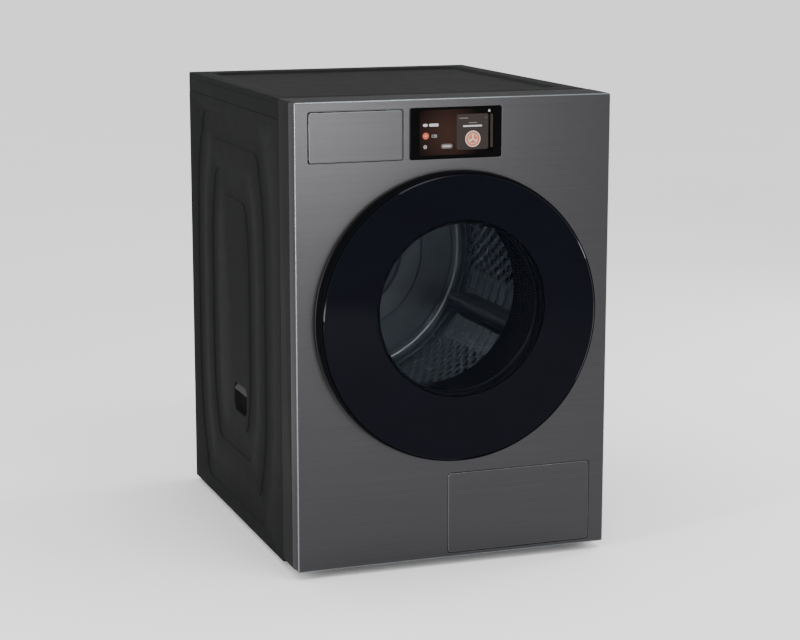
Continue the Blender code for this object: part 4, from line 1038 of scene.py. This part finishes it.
def drawer():
    """The water drawer: a brushed face with a rounded edge, its carrier, tank, lid and filler cap."""
    low, high = DRAWER_LOW, DRAWER_HIGH
    face = outline((low[0], low[2]), (high[0], high[2]), 4.5)
    plate = slab("drawer_face", face, low[1], low[1] + 2.4, edge=1.1)
    put(plate, "drawer_front", instead_of=("drawer_front",))
    # a painted highlight line along the drawer face's edge
    painted_highlight_edge("drawer_edge_highlight", face, low[1], 1.1, "drawer_front")
    # painted shade: the carrier behind the face is dark plastic so that the gap round the drawer face stays
    # dark
    area = outline((low[0] + 2.2, low[2] + 2.2), (high[0] - 2.2, high[2] - 11.0), 4.0)
    carrier = slab("drawer_carrier", area, low[1] + 2.5, high[1], edge=0.8)
    put(carrier, "drawer_front", SHADES["dark_plastic"])
    softened("water_tank", 1.2)
    softened("tank_lid", 0.8)
    lid_low, lid_high = corners("tank_lid")
    middle = ((lid_low[0] + lid_high[0]) / 2, 0.0)
    cap = [(0, lid_high[2] + 1.2), (9, lid_high[2] + 1.2), (10, lid_high[2] + 2.6),
           (12, lid_high[2] + 2.6), (15.4, lid_high[2] + 1.4), (15.4, lid_low[2] - 3.0),
           (13.8, lid_low[2] - 3.0), (13.8, lid_high[2] - 1.0), (0, lid_high[2] - 1.0)]
    put(turned("tank_filler_cap", cap, middle, "z", 72, ease=0.5), "tank_lid", SHADES["dark_plastic"])
    for index, x in enumerate(np.linspace(lid_low[0] + 18, lid_high[0] - 18, 7), 1):
        rib = outline((x - 2.0, -350.0), (x + 2.0, -60.0), 1.9)
        bead = slab(f"tank_lid_rib_{index}", rib, 0.0, 1.2, edge=0.8, band=0.3)
        bead.data.transform(lift_up(lid_high[2] + 0.9))
        put(bead, "tank_lid")


SCREEN_WIDTH = SCREEN_HIGH[0] - SCREEN_LOW[0]
SCREEN_HEIGHT = SCREEN_HIGH[2] - SCREEN_LOW[2]
PRINT, LAYER = 0.02, 0.03   # thickness of a lit area, and the step from one layer to the next
DRUM_MARK = (0.685, 0.632)


def on_screen(across, down):
    """A place on the display as (x, z), from its share across the glass and down it."""
    return SCREEN_LOW[0] + across * SCREEN_WIDTH, SCREEN_HIGH[2] - down * SCREEN_HEIGHT


def layer_front(layer):
    """The depth of a layer's front face; layer 0 lies on the glass."""
    return SCREEN_LOW[1] - PRINT - LAYER * layer


def printed(name, loop, shade, layer):
    """A flat lit area just in front of the glass, each layer a little further out."""
    front = layer_front(layer)
    rows = np.stack([at_depth(loop, front + PRINT), at_depth(loop, front)])
    return put(surface(name, rows, wrap_columns=True, ends=True), "display_glass", shade)


def lit_bar(name, left, right, down, height, shade, layer):
    """A rounded bar in place of a line of words."""
    x0, z = on_screen(left, down)
    x1, _ = on_screen(right, down)
    half = height / 2
    return printed(name, frame_loop((x0, z - half), (x1, z + half), half - 0.05), shade, layer)


def lit_disc(name, across, down, radius, shade, layer):
    """A lit round mark."""
    return printed(name, ring_loop(on_screen(across, down), radius, 0.0, 48), shade, layer)


def lit_ring(name, across, down, radius, width, shade):
    """A lit thin ring."""
    centre = on_screen(across, down)
    front = layer_front(4)
    inside, back = radius - width, front + PRINT
    profile = [(inside, front), (radius, front), (radius, back), (inside, back)]
    return put(turned(name, profile, centre, steps=64), "display_glass", shade)


# Marks on the display: places are shares across and down the glass, sizes are in millimetres.
GLOWS = {
    "white": ((0.75, 0.75, 0.76), 1.1),
    "grey": ((0.24, 0.21, 0.2), 1.0),
    "card": ((0.062, 0.05, 0.047), 1.0),
    "coral": ((0.85, 0.2, 0.12), 1.0),
    "peach": ((0.8, 0.26, 0.17), 1.0),
    "cream": ((0.95, 0.75, 0.62), 1.1),
    "faint": ((0.012, 0.011, 0.010), 1.0),
}
# name, left, right, down, height, glow, layer
BARS = (
    ("title_bar_1", 0.14, 0.19, 0.335, 6.0, "white", 3),
    ("title_bar_2", 0.205, 0.31, 0.335, 6.0, "white", 3),
    ("pill", 0.337, 0.462, 0.758, 9.6, "grey", 3),
    ("pill_bar", 0.358, 0.441, 0.758, 2.4, "white", 4),
    ("card_bar_1", 0.533, 0.634, 0.22, 2.2, "grey", 3),
    ("card_bar_2", 0.638, 0.732, 0.313, 2.2, "grey", 3),
    ("card_bar_3", 0.576, 0.786, 0.377, 3.4, "white", 3),
)
# name, across, down, radius, glow, layer
DISCS = (
    ("mode_disc", 0.17, 0.545, 6.8, "coral", 3),
    ("mode_mark", 0.17, 0.545, 1.7, "cream", 4),
    ("small_disc", 0.164, 0.76, 4.3, "grey", 3),
    ("card_dot", 0.828, 0.217, 1.1, "grey", 3),
    ("drum_mark_face", *DRUM_MARK, 16.0, "peach", 3),
)
# name, across, down, radius, width, glow
RINGS = (
    ("small_ring", 0.164, 0.76, 3.0, 0.9, "white"),
    ("drum_mark_ring", *DRUM_MARK, 16.6, 2.0, "cream"),
    ("drum_mark_inner_ring", *DRUM_MARK, 10.6, 1.2, "cream"),
    ("power_ring", 0.054, 0.488, 3.6, 0.5, "faint"),
)


def display():
    """The touch display: black cover glass over a lit picture with plain marks and no words."""
    cover = outline((SCREEN_LOW[0], SCREEN_LOW[2]), (SCREEN_HIGH[0], SCREEN_HIGH[2]), 4.5)
    put(slab("display_cover", cover, SCREEN_LOW[1], SCREEN_HIGH[1], edge=0.5), "display_glass",
        instead_of=("display_glass",))
    middle = on_screen(0.40, 0.50)
    backlight = screen_glow("display_glow", (middle[0] * MM, 0.0, middle[1] * MM), (0.085, 1.0, 0.085),
                            (0.003, 0.0022, 0.002), (0.085, 0.04, 0.031), 1.0)
    area = frame_loop(on_screen(0.105, 0.93), on_screen(0.906, 0.04), 1.0)
    printed("display_picture", area, backlight, 0)
    softened("display_housing", 0.8, SHADES["dark_plastic"])
    glow = {name: lit("display_" + name, *values) for name, values in GLOWS.items()}
    card_area = frame_loop(on_screen(0.507, 0.84), on_screen(0.855, 0.14), 4.0)
    printed("display_card", card_area, glow["card"], 1)
    next_area = frame_loop(on_screen(0.878, 0.81), on_screen(0.905, 0.15), 1.6)
    printed("display_next_card", next_area, glow["card"], 1)
    for name, left, right, down, height, shade, layer in BARS:
        lit_bar(name, left, right, down, height, glow[shade], layer)
    for name, across, down, radius, shade, layer in DISCS:
        lit_disc(name, across, down, radius, glow[shade], layer)
    for name, across, down, radius, width, shade in RINGS:
        lit_ring(name, across, down, radius, width, glow[shade])
    for index, angle in enumerate(np.radians((90, 210, 330)), 1):
        spoke(f"drum_mark_spoke_{index}", on_screen(*DRUM_MARK), angle, glow["cream"])
    bell = np.array([(-2.6, -1.9), (2.6, -1.9), (2.2, -0.6), (1.7, 1.4), (0.7, 2.7), (-0.7, 2.7), (-1.7, 1.4),
                     (-2.2, -0.6)]) + on_screen(0.864, 0.088)
    printed("notice_mark", bell, glow["white"], 3)
    numerals("120", on_screen(0.228, 0.578), 6.2, glow["white"])


def spoke(name, centre, angle, shade):
    """A tapered bar of the drum mark, from its hub to its inner ring."""
    along = np.array((math.cos(angle), math.sin(angle)))
    across = np.array((-along[1], along[0]))
    ends = ((0.0, -1.4), (9.8, -2.2), (9.8, 2.2), (0.0, 1.4))
    bar = np.array([along * reach + across * half for reach, half in ends])
    printed(name, bar + centre, shade, 5)


def numerals(words, place, height, shade):
    """Plain figures as a flat mesh on the display."""
    curve = bpy.data.curves.new("timer_figures", "FONT")
    curve.body = words
    curve.size = height * 1.38 * MM
    curve.extrude = 0.01 * MM
    text = bpy.data.objects.new("timer_figures_text", curve)
    mesh = bpy.data.meshes.new_from_object(text)
    bpy.data.objects.remove(text)
    made = bpy.data.objects.new("timer_figures", mesh)
    bpy.context.scene.collection.objects.link(made)
    right, up, forward = mesh_points(made).T
    front = (SCREEN_LOW[1] - 0.14) * MM
    set_points(made, np.stack([right + place[0] * MM, front - forward, up + place[1] * MM], -1))
    put(made, "display_glass", shade)


def hatch():
    """The service hatch: a brushed plate with a rounded edge and two lugs, and the parts behind it."""
    low, high = HATCH_LOW, HATCH_HIGH
    face = outline((low[0], low[2]), (high[0], high[2]), 6.6)
    plate = slab("hatch_face", face, low[1], low[1] + 1.7, edge=0.7)
    put(plate, "service_cover", instead_of=("service_cover",))
    # a painted highlight line along the hatch plate's edge
    painted_highlight_edge("hatch_edge_highlight", face, low[1], 0.7, "service_cover")
    for index, left in enumerate((-8.0, 295.8), 1):
        lug = outline((left, 31.0), (left + 6.0, 39.6), 1.2)
        put(slab(f"hatch_lug_{index}", lug, low[1] + 1.6, -398.5, edge=0.4, band=0.3), "service_cover",
            SHADES["dark_plastic"])
    softened("service_frame", 0.6)
    softened("inner_service_cover", 0.8)
    cover_low, cover_high = corners("inner_service_cover")
    for index in range(8):
        x = cover_low[0] + 76 + 22 * index
        rib = outline((x - 3.0, cover_low[2] + 20), (x + 3.0, cover_high[2] - 20), 2.9)
        bead = slab(f"inner_cover_rib_{index + 1}", rib, -389.6, -387.8, edge=0.8, band=0.4)
        put(bead, "inner_service_cover")
    for index in (1, 2):
        softened(f"lock_lever_{index}", 0.7)


# ------------------------------------------------------------------ drive and heat pump

def compressor():
    """The compressor: a domed can with a welded belt seam."""
    low, high = corners("compressor")
    centre = ((low[0] + high[0]) / 2, (low[1] + high[1]) / 2)
    can = [(0, 15.4), (48, 15.6), (62, 24), (64.6, 34), (64.6, 92), (65.0, 94), (65.0, 98), (64.6, 100),
           (64.6, 158), (60, 174), (50, 185), (20, 191), (18, 193), (0, 193)]
    shell = turned("compressor_can", can, centre, "z", 120, [0, 6, 8, 8, 1, 1, 1, 1, 8, 10, 10, 3, 2, 0])
    put(shell, "compressor", instead_of=("compressor",))


def tube(name, route, radius, like, shade, steps=14):
    """A round pipe along a smooth curve through its route's points (a Catmull-Rom spline)."""
    points = np.asarray(route, float)
    padded = np.concatenate([2 * points[:1] - points[1:2], points, 2 * points[-1:] - points[-2:-1]])
    t = np.linspace(0, 1, 12, endpoint=False)[None, :, None]
    a, b, c, d = (padded[i:len(padded) - 3 + i, None] for i in range(4))
    line = 0.5 * (2 * b + (c - a) * t + (2 * a - 5 * b + 4 * c - d) * t**2 + (3 * b - a - 3 * c + d) * t**3)
    line = np.concatenate([line.reshape(-1, 3), points[-1:]])
    tangent = np.gradient(line, axis=0)
    tangent /= np.linalg.norm(tangent, axis=1)[:, None]
    side = np.cross(tangent, (0.31, 0.17, 0.93))
    side /= np.linalg.norm(side, axis=1)[:, None]
    up = np.cross(tangent, side)
    angle = np.linspace(0, 2 * np.pi, steps, endpoint=False)[None, :, None]
    grid = line[:, None] + radius * (side[:, None] * np.cos(angle) + up[:, None] * np.sin(angle))
    return put(surface(name, grid, wrap_columns=True, ends=True), like, shade)


def pipes():
    """Copper lines between compressor and heat exchangers, and the pump's drain hose."""
    tube("suction_line", [(150, 215, 120), (140, 190, 140), (150, 60, 205), (240, -40, 212), (270, -150, 208),
                          (270, -210, 196), (270, -215, 180)], 5.0, "compressor", SHADES["copper"])
    tube("discharge_line", [(205, 215, 170), (205, 150, 205), (205, 40, 210), (180, -60, 205),
                            (180, -90, 196), (180, -100, 180)], 4.0, "compressor", SHADES["copper"])
    tube("drain_hose", [(-100, -230, 45), (-130, -228, 44), (-170, -190, 40), (-200, -60, 34),
                        (-290, 40, 30), (-318, 140, 30), (-320, 300, 60), (-322, 380, 300),
                        (-322, 350, 700), (-322, 200, 845), (-322, 120, 880)],
                        6.0, "drain_pump", SHADES["rubber"])


ROUNDED_NODES = {
    0.3: ("evaporator", "condenser", "cooling_fan"),
    0.4: ("blower_wheel", "fan_shroud"),
    0.5: ("tension_arm", "door_hinge_pin"),
    0.6: ("blower_housing", "drum_shaft", "front_bulkhead", "door_hinge_bracket"),
    0.8: ("drive_motor", "rear_air_duct", "drain_pump", "tank_housing", "door_catch"),
    1.0: ("base_pan",),
}


def drive():
    """The bearing's ring, and the parts that keep the frame's own shapes, with rounded edges."""
    wheel("bearing_ring", "rear_bearing", [(12.4, 392), (24, 392), (28, 396), (28, 431), (32, 433),
                                           (32, 440.6), (12.4, 440.6)], 0.8)
    softened("drive_belt", 0.3, SHADES["rubber"])
    for width, nodes in ROUNDED_NODES.items():
        for node in nodes:
            softened(node, width)


def filter_grille():
    """The lint filter's mesh face: a plate with a woven relief, one sine wave across the other."""
    softened("lint_filter", 0.6, SHADES["dark_plastic"])
    low, high = corners("lint_filter")
    x = np.linspace(low[0] + 8, high[0] - 8, 190)[None, :]
    z = np.linspace(low[2] + 8, low[2] + 88, 84)[:, None]
    weave = 0.35 * (np.abs(np.sin(x * np.pi / 4.2)) ** 6 + np.abs(np.sin(z * np.pi / 4.2)) ** 6)
    front = low[1] + 0.1 - weave
    outer = np.stack([np.broadcast_to(x, weave.shape), front, np.broadcast_to(z, weave.shape)], -1)
    mesh = surface("lint_filter_mesh", outer, outward=False)
    put(facing(mesh, (0, -1, 0)), "lint_filter", SHADES["dark_plastic"])


def cord_gland():
    """The moulded ring for the mains lead, with a rolled outer lip."""
    wheel("cord_gland_ring", "cord_gland", [(5.0, 438.2), (12.2, 438.2), (12.2, 443.2), (11.2, 444.0),
                                            (6.0, 444.0), (5.0, 443.0)], 0.4, steps=64)


# ------------------------------------------------------------------ studio

FLOOR_REACH = 30000.0
WORLD_STRENGTH = 1.5
# name, place, aim, size, power: all in metres and watts
LIGHTS = (
    ("key_softbox", (0.45, -3.5, 0.85), (-0.3, -0.4, 0.9), (0.8, 0.7), 38.0),
    ("edge_softbox", (-3.1, -1.6, 1.0), (-0.34, -0.4, 0.6), (0.3, 1.8), 80.0),
    ("right_softbox", (3.2, 0.6, 1.6), (0.34, 0.1, 0.5), (1.0, 1.6), 60.0),
    ("top_softbox", (0.2, -1.5, 3.3), (0.0, -0.4, 1.0), (1.8, 0.5), 40.0),
    ("drum_lamp", (0.05, -0.17, 0.735), (-0.08, 0.33, 0.56), (0.06, 0.02), 0.45),
)


def studio():
    """A pale floor, a white surround and the soft lights."""
    square = FLOOR_REACH * np.array([(-1, -1, 0), (1, -1, 0), (1, 1, 0), (-1, 1, 0)])
    floor = piece_from("studio_floor", square, [(0, 1, 2, 3)])
    floor.data.materials.append(pale_floor("pale_floor"))

    world = bpy.data.worlds.new("white_surround")
    world.use_nodes = True
    surround = world.node_tree.nodes["Background"]
    surround.inputs["Color"].default_value = (1.0, 1.0, 1.0, 1.0)
    surround.inputs["Strength"].default_value = WORLD_STRENGTH
    bpy.context.scene.world = world

    for name, place, aim, size, energy in LIGHTS:
        lamp = bpy.data.lights.new(name, "AREA")
        lamp.shape = "RECTANGLE"
        lamp.size, lamp.size_y = size
        lamp.energy = energy
        light = bpy.data.objects.new(name, lamp)
        light.location = place
        light.rotation_euler = (Vector(aim) - Vector(place)).to_track_quat("-Z", "Y").to_euler()
        bpy.context.scene.collection.objects.link(light)


def camera():
    """The camera, in front of the left front corner and a little above the lid."""
    lens = bpy.data.cameras.new("camera")
    lens.lens = 94.96
    lens.sensor_width = 36.0
    view = bpy.data.objects.new("camera", lens)
    view.location = (-1.5424, -4.3924, 1.3663)
    view.rotation_euler = (math.radians(90 - 11.119), 0.0, math.radians(-19.619))
    bpy.context.scene.collection.objects.link(view)
    bpy.context.scene.camera = view


# ------------------------------------------------------------------ the whole machine

camera()
studio()
front_sheet()
side_sheet(-1, "left_side_sheet", "left_side_panel", "left_grip_cup")
side_sheet(1, "right_side_sheet", "right_side_panel", "right_grip_cup")
top_cover()
front_surround()
back_sheet()
levelling_feet()
cord_gland()
door_pane()
door_rim()
door_frame()
door_bowl()
door_seal()
drum_wall()
drum_rear_wall()
for number, turn_from_right in enumerate(LIFTER_ANGLES, 1):
    lifter(number, turn_from_right)
throat_lining()
felt_ring()
rollers_and_pulleys()
drawer()
display()
hatch()
compressor()
pipes()
drive()
filter_grille()
